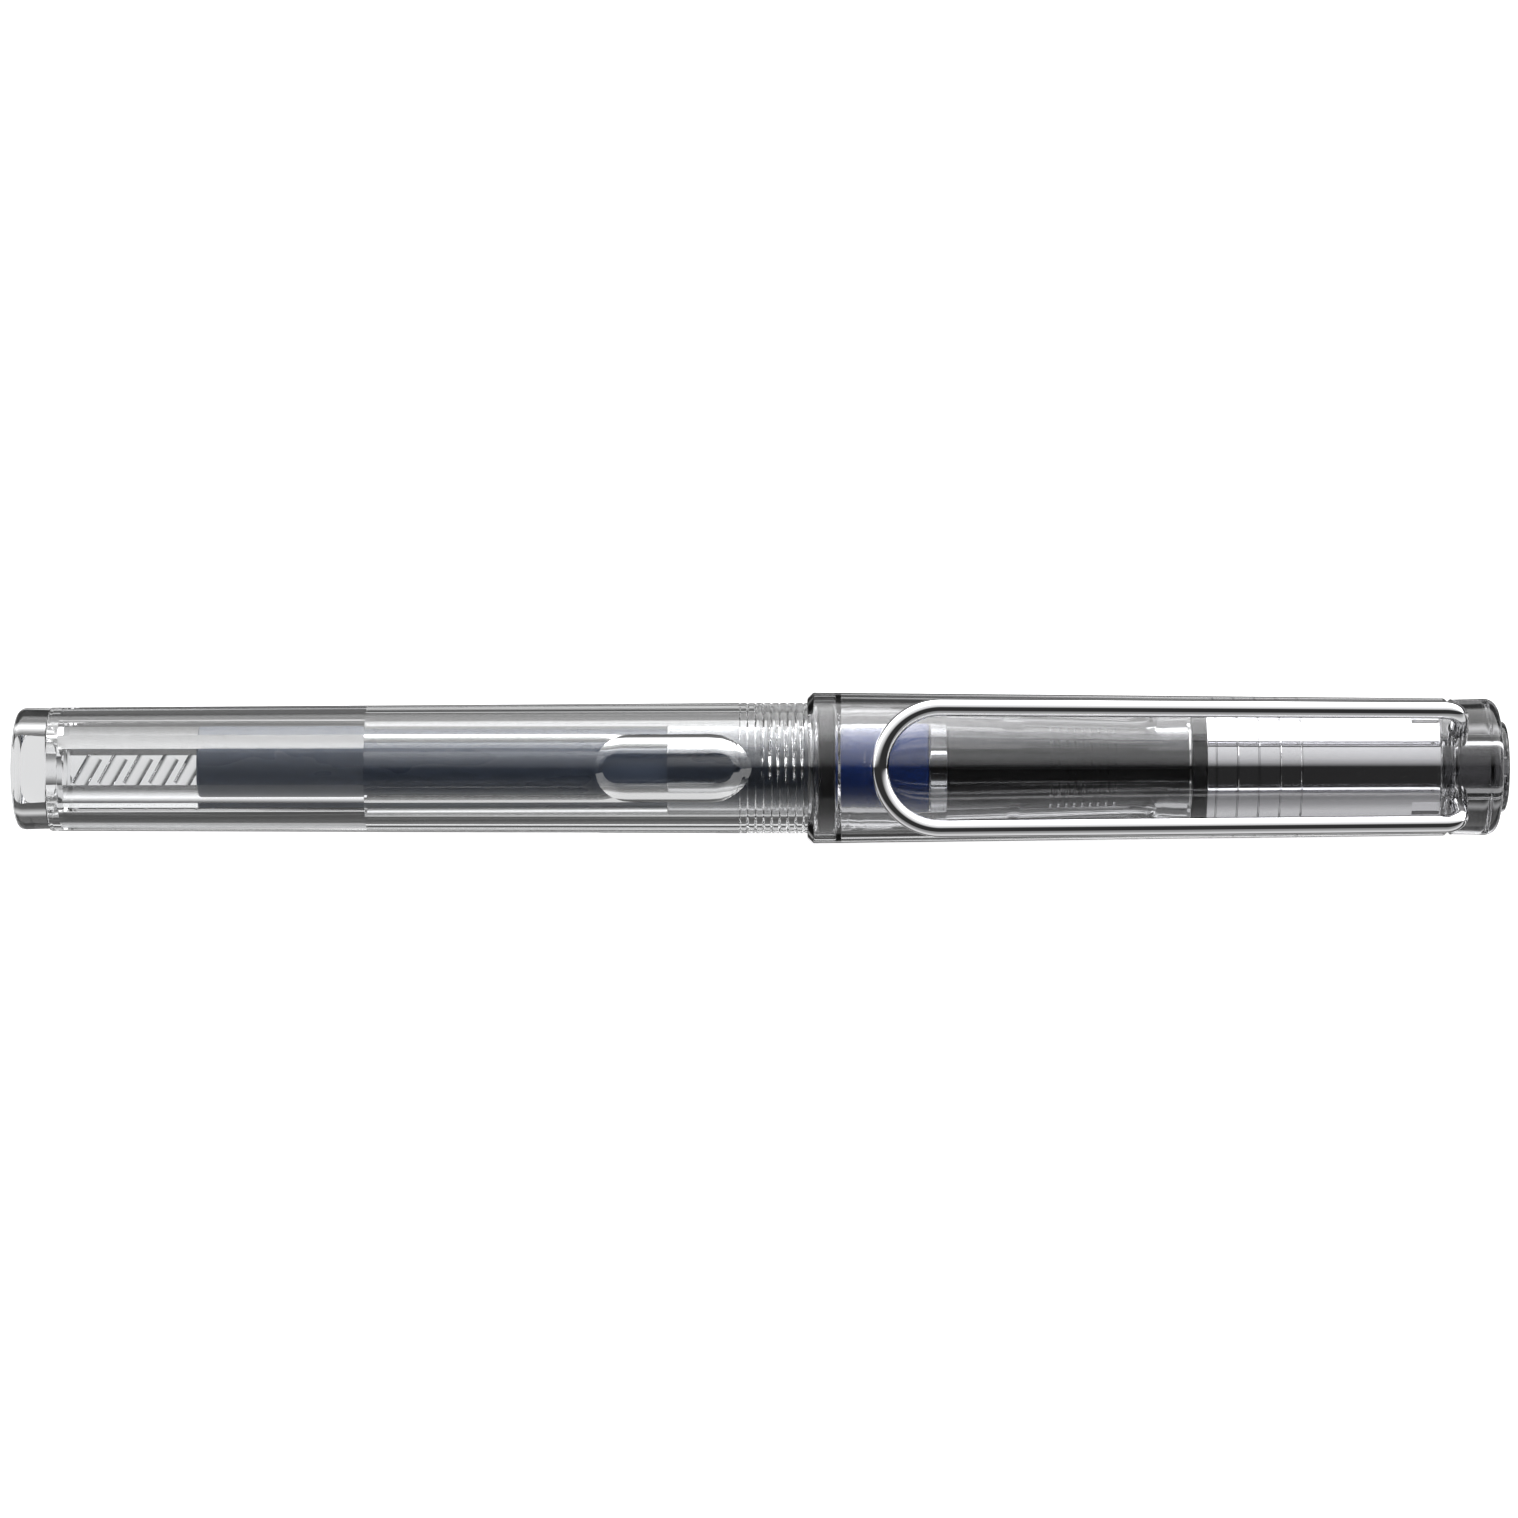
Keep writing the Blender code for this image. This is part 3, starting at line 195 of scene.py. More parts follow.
SLOT_HALF_LENGTH = 1.05
SLOT_DEPTH = 1.6
FINIAL_START = CAP_END + SEAT_GAP

CLIP_BOW_HALF_WIDTH = 5.55
WIRE_RADIUS = CLIP_HALF_WIDTH - CLIP_BOW_HALF_WIDTH
CLIP_ROOT = CLIP_FRONT - WIRE_RADIUS
CLIP_ROOT_HALF_WIDTH = 5.22
CLIP_TOUCH_GAP = 0.10
CLIP_CROWN = 0.5
CLIP_ANCHOR = 2.1
CLIP_BEND = 1.6
CLIP_HOLE_GAP = 0.14


def cap_radius_at(x):
    """Outer radius of the cap, which narrows evenly from its lip to its end."""
    return CAP_LIP_RADIUS - (CAP_LIP_RADIUS - CAP_END_RADIUS) * (x - CAP_LIP) / (CAP_END - CAP_LIP)


def barrel_radius_at(x):
    """Outer radius of the barrel, which widens evenly towards its rings."""
    share = (x - BARREL_TAIL) / (RIB_TAIL - BARREL_TAIL)
    return BARREL_TAIL_RADIUS + (BARREL_RADIUS - BARREL_TAIL_RADIUS) * max(0.0, min(1.0, share))


def flat_height_at(x):
    tail = math.sqrt(BARREL_TAIL_RADIUS**2 - FLAT_HALF_WIDTH**2)
    front = math.sqrt(BARREL_RADIUS**2 - FLAT_HALF_WIDTH**2)
    return tail + (front - tail) * (x - BARREL_TAIL) / (RIB_TAIL - BARREL_TAIL)


# ---------------------------------------------------------------- materials


def new_material(name):
    """An empty Principled material, with its node tree and shader."""
    made = bpy.data.materials.new(name)
    made.use_nodes = True
    return made, made.node_tree, made.node_tree.nodes["Principled BSDF"]


def noise(tree, scale, detail=2.0, stretch=(1.0, 1.0, 1.0)):
    """Noise in the object's own space, stretched by axis."""
    place = tree.nodes.new("ShaderNodeTexCoord")
    spread = tree.nodes.new("ShaderNodeMapping")
    spread.inputs["Scale"].default_value = stretch
    grain = tree.nodes.new("ShaderNodeTexNoise")
    grain.inputs["Scale"].default_value = scale
    grain.inputs["Detail"].default_value = detail
    tree.links.new(place.outputs["Object"], spread.inputs["Vector"])
    tree.links.new(spread.outputs["Vector"], grain.inputs["Vector"])
    return grain.outputs["Fac"]


def ramp(tree, value, stops):
    """A colour ramp from (position, colour) stops."""
    made = tree.nodes.new("ShaderNodeValToRGB")
    band = made.color_ramp
    while len(band.elements) < len(stops):
        band.elements.new(1.0)
    for element, (position, color) in zip(band.elements, stops):
        element.position = position
        element.color = (*color, 1.0)
    tree.links.new(value, made.inputs["Fac"])
    return made.outputs["Color"]


def vary(tree, value, low, high):
    """Maps a 0 to 1 value onto low to high."""
    made = tree.nodes.new("ShaderNodeMapRange")
    made.inputs["To Min"].default_value = low
    made.inputs["To Max"].default_value = high
    tree.links.new(value, made.inputs["Value"])
    return made.outputs["Result"]


def bump(tree, shader, value, height):
    made = tree.nodes.new("ShaderNodeBump")
    made.inputs["Strength"].default_value = 1.0
    made.inputs["Distance"].default_value = height
    tree.links.new(value, made.inputs["Height"])
    tree.links.new(made.outputs["Normal"], shader.inputs["Normal"])


def clear_plastic(name, light, dark, roughness, ior, ripple):
    """Clear moulded plastic: a little mottled in tone, faintly rippled along the pen."""
    made, tree, shader = new_material(name)
    shader.inputs["Transmission Weight"].default_value = 1.0
    shader.inputs["IOR"].default_value = ior
    cloud = noise(tree, 260.0, 3.0, (0.25, 1.0, 1.0))
    color = ramp(tree, cloud, ((0.3, dark), (0.7, light)))
    tree.links.new(color, shader.inputs["Base Color"])
    tree.links.new(vary(tree, cloud, roughness * 0.6, roughness * 1.4), shader.inputs["Roughness"])
    bump(tree, shader, noise(tree, 420.0, 1.0, (0.12, 1.0, 1.0)), ripple)
    return made


def metal(name, light, dark, roughness, streak):
    """Bright metal with faint polishing marks along the pen."""
    made, tree, shader = new_material(name)
    shader.inputs["Metallic"].default_value = 1.0
    marks = noise(tree, 900.0, 4.0, streak)
    tree.links.new(ramp(tree, marks, ((0.3, dark), (0.7, light))), shader.inputs["Base Color"])
    tree.links.new(vary(tree, marks, roughness * 0.6, roughness * 1.5), shader.inputs["Roughness"])
    return made


def dull(name, light, dark, rough_low, rough_high, grain_scale, grain_height):
    """Moulded black plastic or rubber."""
    made, tree, shader = new_material(name)
    grain = noise(tree, grain_scale, 4.0)
    tree.links.new(ramp(tree, grain, ((0.3, dark), (0.7, light))), shader.inputs["Base Color"])
    tree.links.new(vary(tree, grain, rough_low, rough_high), shader.inputs["Roughness"])
    bump(tree, shader, grain, grain_height)
    return made


def along_pen(tree, start, end):
    """0 before start and 1 after end, in pen millimetres along the pen."""
    place = tree.nodes.new("ShaderNodeTexCoord")
    split = tree.nodes.new("ShaderNodeSeparateXYZ")
    share = tree.nodes.new("ShaderNodeMapRange")
    share.inputs["From Min"].default_value = start * MM + tail_x
    share.inputs["From Max"].default_value = end * MM + tail_x
    tree.links.new(place.outputs["Object"], split.inputs["Vector"])
    tree.links.new(split.outputs["X"], share.inputs["Value"])
    return share.outputs["Result"]


def ink_with_painted_light(name, painted_shade_slate, painted_lit_blue, roughness, transmission, ior):
    """Ink or inked plastic with painted light: a painted shaded grey-blue in the barrel, and a painted lit
    bright blue where the section's clear front lights it.
    """
    made, tree, shader = new_material(name)
    shader.inputs["IOR"].default_value = ior
    shader.inputs["Transmission Weight"].default_value = transmission
    cloud = noise(tree, 180.0, 3.0, (0.4, 1.0, 1.0))
    lit_and_shaded_tones = []
    for color in (painted_shade_slate, painted_lit_blue):
        darker = tuple(0.85 * channel for channel in color)
        lit_and_shaded_tones.append(ramp(tree, cloud, ((0.3, darker), (0.7, color))))
    painted_light_blend = tree.nodes.new("ShaderNodeMix")
    painted_light_blend.data_type = "RGBA"
    # Painted light: the colour turns from the painted shaded grey-blue to the painted lit bright blue across
    # the section's shoulder.
    tree.links.new(along_pen(tree, SHOULDER - 0.6, SHOULDER + 0.6), painted_light_blend.inputs["Factor"])
    tree.links.new(lit_and_shaded_tones[0], painted_light_blend.inputs["A"])
    tree.links.new(lit_and_shaded_tones[1], painted_light_blend.inputs["B"])
    tree.links.new(painted_light_blend.outputs["Result"], shader.inputs["Base Color"])
    tree.links.new(vary(tree, cloud, roughness * 0.8, roughness * 1.2), shader.inputs["Roughness"])
    return made


CLEAR = clear_plastic("clear_plastic", (0.985, 0.99, 0.995), (0.965, 0.97, 0.98), 0.006, 1.49, 8e-9)
DARK_SMOKE = clear_plastic("dark_smoke_plastic", (0.42, 0.42, 0.43), (0.37, 0.37, 0.38), 0.03, 1.49, 8e-9)
SMOKE = clear_plastic("smoke_plastic", (0.86, 0.86, 0.87), (0.83, 0.83, 0.84), 0.006, 1.49, 8e-9)
# The cartridge shell's colour holds painted light: shaded grey-blue in the barrel, lit bright blue in the
# section.
MILKY = ink_with_painted_light("cartridge_plastic", (0.068, 0.086, 0.125), (0.016, 0.090, 0.50), 0.28, 0.0, 1.50)
CHROME = metal("chrome", (0.93, 0.93, 0.94), (0.88, 0.88, 0.90), 0.025, (0.05, 1.0, 1.0))
STEEL = metal("polished_steel", (0.78, 0.77, 0.75), (0.66, 0.65, 0.63), 0.14, (0.08, 1.0, 1.0))
BLACK = dull("black_plastic", (0.020, 0.020, 0.022), (0.012, 0.012, 0.013), 0.28, 0.38, 1500.0, 5e-7)
RUBBER = dull("seal_rubber", (0.022, 0.022, 0.024), (0.012, 0.012, 0.013), 0.38, 0.55, 1200.0, 1e-6)
# The ink's colour holds painted light in the same way: shaded grey-blue in the barrel, lit bright blue in
# the section.
INK = ink_with_painted_light("blue_ink", (0.020, 0.034, 0.065), (0.006, 0.030, 0.30), 0.06, 0.0, 1.34)

# ---------------------------------------------------------------- shape helpers


def to_frame(point):
    """A point in pen millimetres as a point in the row frame."""
    return AXIS + Vector(point) * MM


def from_bmesh(name, shape):
    for vert in shape.verts:
        vert.co = to_frame(vert.co)
    bmesh.ops.recalc_face_normals(shape, faces=shape.faces)
    mesh = bpy.data.meshes.new(name)
    shape.to_mesh(mesh)
    shape.free()
    made = bpy.data.objects.new(name, mesh)
    bpy.context.scene.collection.objects.link(made)
    return made


def lofted(name, rings, closed=True, looped=False):
    """A skin through rings of the same number of points. Its ends are closed, or joined in a loop."""
    shape = bmesh.new()
    loops = [[shape.verts.new(point) for point in ring] for ring in rings]
    pairs = list(zip(loops, loops[1:]))
    if looped:
        pairs.append((loops[-1], loops[0]))
    for lower, upper in pairs:
        for i in range(len(lower)):
            after = (i + 1) % len(lower)
            shape.faces.new((lower[i], lower[after], upper[after], upper[i]))
    if closed and not looped:
        shape.faces.new(loops[0])
        shape.faces.new(loops[-1])
    return from_bmesh(name, shape)


def turned(name, profile, around=AROUND, wave=None):
    """A solid of revolution about the pen's axis, from (x, radius) points. Points on the axis close it,
    and otherwise it is a loop. wave(x, radius, angle) may move a point in or out."""
    rings = []
    for x, radius in profile:
        ring = []
        for step in range(around):
            angle = 2 * math.pi * step / around
            reach = wave(x, radius, angle) if wave else radius
            ring.append((x, -reach * math.sin(angle), reach * math.cos(angle)))
        rings.append(ring)
    made = lofted(name, rings, closed=False, looped=profile[0][1] > 0)
    shape = bmesh.new()
    shape.from_mesh(made.data)
    bmesh.ops.remove_doubles(shape, verts=shape.verts, dist=1e-8)
    bmesh.ops.recalc_face_normals(shape, faces=shape.faces)
    shape.to_mesh(made.data)
    shape.free()
    return made


def rounded(profile_corners, steps=6):
    """(x, radius) points with corners rounded. Each corner is (x, radius) or (x, radius, fillet)."""
    points = []
    count = len(profile_corners)
    for i, corner in enumerate(profile_corners):
        here = Vector(corner[:2])
        fillet = corner[2] if len(corner) > 2 else 0.0
        if not fillet:
            points.append(tuple(here))
            continue
        before = (Vector(profile_corners[i - 1][:2]) - here).normalized()
        after = (Vector(profile_corners[(i + 1) % count][:2]) - here).normalized()
        for step in range(steps + 1):
            share = step / steps
            start = here + before * fillet
            end = here + after * fillet
            bent = start * (1 - share) ** 2 + here * 2 * share * (1 - share) + end * share**2
            points.append(tuple(bent))
    return points


def rod(name, start, end, radius, facets=FINE):
    along = Vector(end) - Vector(start)
    turn = Vector((0, 0, 1)).rotation_difference(along).to_matrix()
    rings = []
    for centre in (start, end):
        ring = []
        for step in range(facets):
            angle = 2 * math.pi * step / facets
            ring.append(Vector(centre) + turn @ Vector((math.cos(angle), math.sin(angle), 0)) * radius)
        rings.append(ring)
    return lofted(name, rings)


def box(name, low, high):
    rings = [[(x, low[1], low[2]), (x, high[1], low[2]), (x, high[1], high[2]), (x, low[1], high[2])]
             for x in (low[0], high[0])]
    return lofted(name, rings)


def cut(target, *tools, operation="DIFFERENCE"):
    """Applies each tool to the target as an exact Boolean and removes the tool."""
    for tool in tools:
        step = target.modifiers.new(tool.name, "BOOLEAN")
        step.operation = operation
        step.object = tool
        step.solver = "EXACT"
        bpy.context.view_layer.update()
        ready = target.evaluated_get(bpy.context.evaluated_depsgraph_get())
        mesh = bpy.data.meshes.new_from_object(ready)
        target.modifiers.clear()
        target.data = mesh
        bpy.data.objects.remove(tool)
    return target


def wear(piece, body, node, material, sharp=28.0):
    """Dresses a piece, puts it on its body, and shows it in place of the CAD node."""
    piece.data.materials.clear()
    piece.data.materials.append(material)
    if piece.type == "MESH":
        for face in piece.data.polygons:
            face.material_index = 0
        piece.data.shade_smooth()
        piece.data.set_sharp_from_angle(angle=math.radians(sharp))
    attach(piece, body)
    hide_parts(node)
    return piece


def stadium(x_tail, x_front, half_width, z, arc_points=24):
    """A round-ended slot outline at height z."""
    points = []
    for centre, start in ((x_front - half_width, -math.pi / 2), (x_tail + half_width, math.pi / 2)):
        for step in range(arc_points + 1):
            angle = start + math.pi * step / arc_points
            points.append((centre + half_width * math.cos(angle), half_width * math.sin(angle), z))
    return points


def thread_height(x, angle, tail, front):
    """How far a right-hand thread stands up at a place, from 0 to 1. It runs out at both ends."""
    turn = (x - tail) / THREAD_PITCH - angle / (2 * math.pi)
    share = abs((turn % 1.0) - 0.5) * 2
    ridge = max(0.0, min(1.0, (0.22 - share) / 0.14))
    runout = max(0.0, min(1.0, (x - tail) / THREAD_PITCH, (front - x) / THREAD_PITCH * 2))
    return ridge * runout


# ---------------------------------------------------------------- barrel and end plug


def flat_cutter(name, side):
    rings = []
    for clear in (0.0, 4 * FLAT_HALF_WIDTH):
        outline = stadium(-2 * PLUG_HEAD, FLAT_FRONT, 1.04 * FLAT_HALF_WIDTH, 0.0)
        rings.append([(x, y, side * (flat_height_at(x) + clear)) for x, y, _ in outline])
    return lofted(name, rings)


def window_dish(name, side):
    """The sloping scoop round the window: even at its sides, and steeper at its two ends."""
    rim = BORE + WINDOW_RIM
    side_top = math.sqrt(BARREL_RADIUS**2 - (WINDOW_HALF_WIDTH + DISH_WIDTH) ** 2)
    rings = []
    steps = 12
    for step in range(steps + 1):
        share = step / steps
        height = rim + (BARREL_RADIUS + 0.3 - rim) * share
        grow = DISH_WIDTH * min(1.15, (height - rim) / (side_top - rim))
        longer = DISH_LENGTH * (height - rim) / (BARREL_RADIUS - rim)
        rings.append(stadium(WINDOW_TAIL - longer, WINDOW_FRONT + longer, WINDOW_HALF_WIDTH + grow,
                             side * height))
    return lofted(name, rings)


def make_barrel():
    flange_bore = PLUG_TOOTH_CREST + 0.17
    flange_seat = PLUG_FLANGE_FRONT + SEAT_GAP
    rough_bore = FACET_CORNER_RADIUS * math.cos(math.pi / 8) - SLIDE_GAP
    thread_bore = THREAD_CREST + 2 * SLIDE_GAP
    ribs = []
    rib_steps = 12
    for rib in range(RIB_COUNT):
        for step in range(rib_steps):
            share = step / rib_steps
            dip = RIB_DEPTH * (1 - math.sqrt(max(0.0, 1 - (2 * share - 1) ** 4)))
            ribs.append((RIB_TAIL + RIB_PITCH * (rib + share), BARREL_RADIUS - dip))
    outer = rounded([(BARREL_TAIL, BARREL_TAIL_RADIUS, 0.08), (RIB_TAIL, BARREL_RADIUS)]) + ribs
    outer.append((BARREL_FRONT - RIB_INSET + 0.02, BARREL_RADIUS - RIB_DEPTH))
    outer.append((BARREL_FRONT - RIB_INSET + 0.12, BARREL_RADIUS))
    outer.append((BARREL_FRONT - LIP_CHAMFER, BARREL_RADIUS))
    outer.append((BARREL_FRONT, BARREL_RADIUS - LIP_CHAMFER))
    thread_rows = []
    rows = 170
    groove_length = THREAD_FRONT - THREAD_TAIL + THREAD_PITCH
    for row in range(rows + 1):
        thread_rows.append((THREAD_FRONT - groove_length * row / rows, BORE))
    inner = [
        (BARREL_FRONT, thread_bore),
        (THREAD_FRONT + 0.3, thread_bore),
        *thread_rows,
        (FACETS_FRONT, BORE),
        (FACETS_FRONT, rough_bore),
        (flange_seat, rough_bore),
        (flange_seat, flange_bore),
        (BARREL_TAIL, flange_bore),
    ]

    def groove(x, radius, angle):
        if radius != BORE or x < THREAD_TAIL - THREAD_PITCH:
            return radius
        depth = thread_height(x, angle, THREAD_TAIL - THREAD_PITCH / 2, THREAD_FRONT + THREAD_PITCH)
        return radius + (THREAD_HEIGHT + SEAT_GAP) * depth

    barrel = turned("barrel_look", inner + outer, wave=groove)
    facet_rings = []
    corners = [*FACET_CORNERS, *(-corner for corner in reversed(FACET_CORNERS))]
    for x in (flange_seat - 0.4, FACETS_FRONT + 0.3):
        ring = []
        for corner in corners:
            angle = math.radians(corner) + FACETS_TURN
            ring.append((x, FACET_CORNER_RADIUS * math.sin(angle), FACET_CORNER_RADIUS * math.cos(angle)))
        facet_rings.append(ring)
    tools = [lofted("facets", facet_rings)]
    for side in (1, -1):
        tools.append(flat_cutter(f"flat_{side}", side))
        tools.append(window_dish(f"dish_{side}", side))
    slot = [stadium(WINDOW_TAIL, WINDOW_FRONT, WINDOW_HALF_WIDTH, z) for z in (-12.0, 12.0)]
    tools.append(lofted("window", slot))
    floor = -flat_height_at(FLUTE_START + FLUTE_PITCH * FLUTE_COUNT / 2)
    for flute in range(FLUTE_COUNT):
        x = FLUTE_START + FLUTE_PITCH * flute
        deep = floor - FLUTE_RADIUS + FLUTE_DEPTH
        ends = [(x + side * FLUTE_SLANT, side * FLUTE_REACH, deep) for side in (-1, 1)]
        tools.append(rod(f"flute_{flute}", *ends, FLUTE_RADIUS, 64))
    cut(barrel, *tools)
    wear(barrel, "barrel", "barrel", CLEAR)


def make_end_plug():
    spigot = FACET_CORNER_RADIUS * math.cos(math.pi / 8) - 2 * SLIDE_GAP
    disc = PLUG_RADIUS * 0.45
    profile = [(0.0, 0.0), (0.0, disc)]
    face_steps = 8
    for step in range(1, face_steps + 1):
        share = step / face_steps
        radius = disc + (PLUG_RADIUS - PLUG_CORNER - disc) * share
        profile.append((PLUG_DOME * share**2, radius))
    for step in range(1, 13):
        angle = math.pi / 2 * step / 12
        profile.append(
            (
                PLUG_DOME + PLUG_CORNER * (1 - math.cos(angle)),
                PLUG_RADIUS - PLUG_CORNER * (1 - math.sin(angle)),
            )
        )
    profile += rounded([(PLUG_HEAD, PLUG_RADIUS, 0.06), (PLUG_HEAD, spigot)])
    profile += [(PLUG_FRONT, spigot), (PLUG_FRONT, 0.0)]
    plug = turned("end_plug_look", profile)
    rings = []
    for x in (PLUG_HEAD - 0.5, PLUG_FLANGE_FRONT):
        ring = []
        for corner in range(4 * PLUG_TEETH):
            angle = 2 * math.pi * (corner + 0.5) / (4 * PLUG_TEETH)
            reach = PLUG_TOOTH_CREST - PLUG_TOOTH_HEIGHT * (corner // 2 % 2)
            ring.append((x, reach * math.cos(angle), reach * math.sin(angle)))
        rings.append(ring)
    cut(plug, lofted("teeth", rings), operation="UNION")
    cut(
        plug,
        rod("recess", (PLUG_RECESS_TAIL, 0, 0), (PLUG_FRONT + 1, 0, 0), PLUG_RECESS_RADIUS),
        flat_cutter("plug_flat_top", 1),
        flat_cutter("plug_flat_bottom", -1),
    )
    wear(plug, "barrel", "barrel_end_plug", CLEAR)


# ---------------------------------------------------------------- section, feed and nib


def facet_cutter(name, side, grip_start, ring_start):
    half = COLLAR_RADIUS
    end_height = NOSE_RADIUS - FACET_DEPTH
    top = COLLAR_RADIUS + 2 * FACET_DEPTH
    turn = Matrix.Rotation(-side * FACET_ANGLE, 4, "X")
    start_height = COLLAR_RADIUS + 0.25
    end = ring_start + NOSE_RING_LENGTH * 0.2
    rings = []
    steps = 40
    for step in range(steps + 1):
        share = step / steps
        x = grip_start + (end - grip_start) * share
        fall = start_height + (end_height - start_height) * min(1.0, share / 0.85) ** 0.6
        rise = max(0.0, (share - 0.88) / 0.12) ** 2 * (2 * FACET_DEPTH)
        height = min(top - 0.1, fall + rise)
        corners = ((x, -half, height), (x, half, height), (x, half, top), (x, -half, top))
        rings.append([turn @ Vector(corner) for corner in corners])
    return lofted(name, rings)


def make_section():
    seat = FEED_COLLAR_TAIL
    feed_bore = FEED_RADIUS + SLIDE_GAP
    nose_bore = FEED_RADIUS + NIB_THICKNESS + 3 * SLIDE_GAP
    grip_start = SHOULDER + COLLAR_LENGTH
    ring_start = NOSE - NOSE_RING_LENGTH
    thread_rows = []
    rows = 160
    for row in range(rows + 1):
        thread_rows.append((THREAD_TAIL + (THREAD_FRONT - THREAD_TAIL) * row / rows, SLEEVE_RADIUS))
    profile = rounded(
        [
            (FEED_COLLAR_FRONT, SLEEVE_BORE),
            (SLEEVE_TAIL, SLEEVE_BORE, 0.08),
            (SLEEVE_TAIL, SLEEVE_RADIUS, 0.2),
        ]
    )
    profile += thread_rows
    profile += rounded(
        [
            (SHOULDER, SLEEVE_RADIUS),
            (SHOULDER, COLLAR_RADIUS, 0.12),
            (SHOULDER + 0.33 * COLLAR_LENGTH, COLLAR_RADIUS, 0.1),
            (SHOULDER + 0.45 * COLLAR_LENGTH, COLLAR_RING_RADIUS, 0.1),
            (SHOULDER + 0.55 * COLLAR_LENGTH, COLLAR_RING_RADIUS, 0.1),
            (SHOULDER + 0.67 * COLLAR_LENGTH, COLLAR_RADIUS, 0.1),
            (grip_start, COLLAR_RADIUS, 0.6),
            (ring_start, NOSE_RADIUS, 0.3),
            (ring_start + NOSE_RING_LENGTH * 0.3, NOSE_RADIUS + NOSE_RING_HEIGHT, 0.3),
            (NOSE, NOSE_RADIUS + NOSE_RING_HEIGHT, 0.18),
            (NOSE, nose_bore, 0.08),
            (NIB_TAIL - SLIDE_GAP, nose_bore),
            (NIB_TAIL - SLIDE_GAP, feed_bore),
            (FEED_COLLAR_FRONT, feed_bore),
        ]
    )

    def ridge(x, radius, angle):
        if radius != SLEEVE_RADIUS or x < THREAD_TAIL or x > THREAD_FRONT:
            return radius
        return radius + THREAD_HEIGHT * thread_height(x, angle, THREAD_TAIL, THREAD_FRONT)

    section = turned("section_look", profile, wave=ridge)
    cut(section, facet_cutter("facet_left", 1, grip_start, ring_start),
        facet_cutter("facet_right", -1, grip_start, ring_start))
    wear(section, "section", "grip_section", CLEAR)

    collar = turned(
        "feed_collar_look",
        rounded(
            [
                (FEED_COLLAR_FRONT, NIPPLE_RADIUS + SEAT_GAP),
                (FEED_COLLAR_TAIL, NIPPLE_RADIUS + SEAT_GAP),
                (FEED_COLLAR_TAIL, FEED_COLLAR_RADIUS, 0.1),
                (FEED_COLLAR_FRONT, FEED_COLLAR_RADIUS, 0.1),
            ]
        ),
    )
    wear(collar, "section", "feed_collar", CLEAR)


def nib_line(x):
    """Half-width, height of the crown's underside and arc radius of the nib at x."""
    share = max(0.0, min(1.0, (x - NOSE - NIB_SHOULDER) / (NIB_TIP - NOSE - NIB_SHOULDER)))
    arc = FEED_RADIUS + SLIDE_GAP
    widest = arc * math.sin(NIB_HALF_ANGLE)
    half_width = widest + (NIB_TIP_HALF_WIDTH - widest) * share**0.8
    return half_width, arc - NIB_DROOP * share**1.5, arc


def make_feed():
    root = FEED_RADIUS - FIN_DEPTH
    body_front = NOSE + NIB_SHOULDER / 2
    profile = [(FEED_TAIL, 0.0), *rounded([(FEED_TAIL, FEED_RADIUS - 0.2), (FEED_TAIL + 0.2, FEED_RADIUS)])]
    for fin in range(FIN_COUNT):
        start = FIN_TAIL + FIN_PITCH * fin
        profile += rounded(
            [
                (start, FEED_RADIUS, 0.05),
                (start, root),
                (start + FIN_PITCH / 2, root),
                (start + FIN_PITCH / 2, FEED_RADIUS, 0.05),
            ],
            3,
        )
    profile += [(body_front, FEED_RADIUS), (body_front, 0.0)]
    feed = turned("feed_look", profile, FINE)
    rings = []
    steps = 24
    for step in range(steps + 1):
        share = step / steps
        x = body_front - FIN_PITCH + (FEED_FRONT - body_front + FIN_PITCH) * share
        half_width, crown, _ = nib_line(x)
        top = crown - SLIDE_GAP
        reach = min(FEED_RADIUS * 0.94, half_width - SLIDE_GAP) * 0.86
        depth = FEED_RADIUS * 1.65 * (1 - 0.78 * share)
        ring = []
        for corner in range(48):
            angle = 2 * math.pi * corner / 48
            ring.append((x, reach * math.sin(angle), top - SLIDE_GAP - depth / 2 * (1 - math.cos(angle))))
        rings.append(ring)
    spine_front = FIN_TAIL + FIN_PITCH * (FIN_COUNT + 1)
    cut(
        feed,
        lofted("feed_nose", rings),
        box("spine", (FIN_TAIL - FIN_PITCH, -0.95, -root / 2), (spine_front, 0.95, FEED_RADIUS - SLIDE_GAP)),
        operation="UNION",
    )
    channel_low = (FEED_TAIL - 0.1, -0.12, FEED_RADIUS - 0.8 * FIN_DEPTH)
    channel_high = (FEED_FRONT + 0.7, 0.12, FEED_RADIUS + 1)
    cut(feed, box("channel", channel_low, channel_high))
    wear(feed, "section", "feed", BLACK)

    nipple = turned(
        "nipple_look",
        [
            (NIPPLE_FRONT, 0.45),
            (NIPPLE_TAIL, 0.45),
            (NIPPLE_TAIL, NIPPLE_RADIUS * 0.72),
            (NIPPLE_TAIL + NIPPLE_RADIUS * 0.5, NIPPLE_RADIUS),
            (NIPPLE_FRONT, NIPPLE_RADIUS),
        ],
        FINE,
    )
    wear(nipple, "section", "feed_nipple", BLACK)


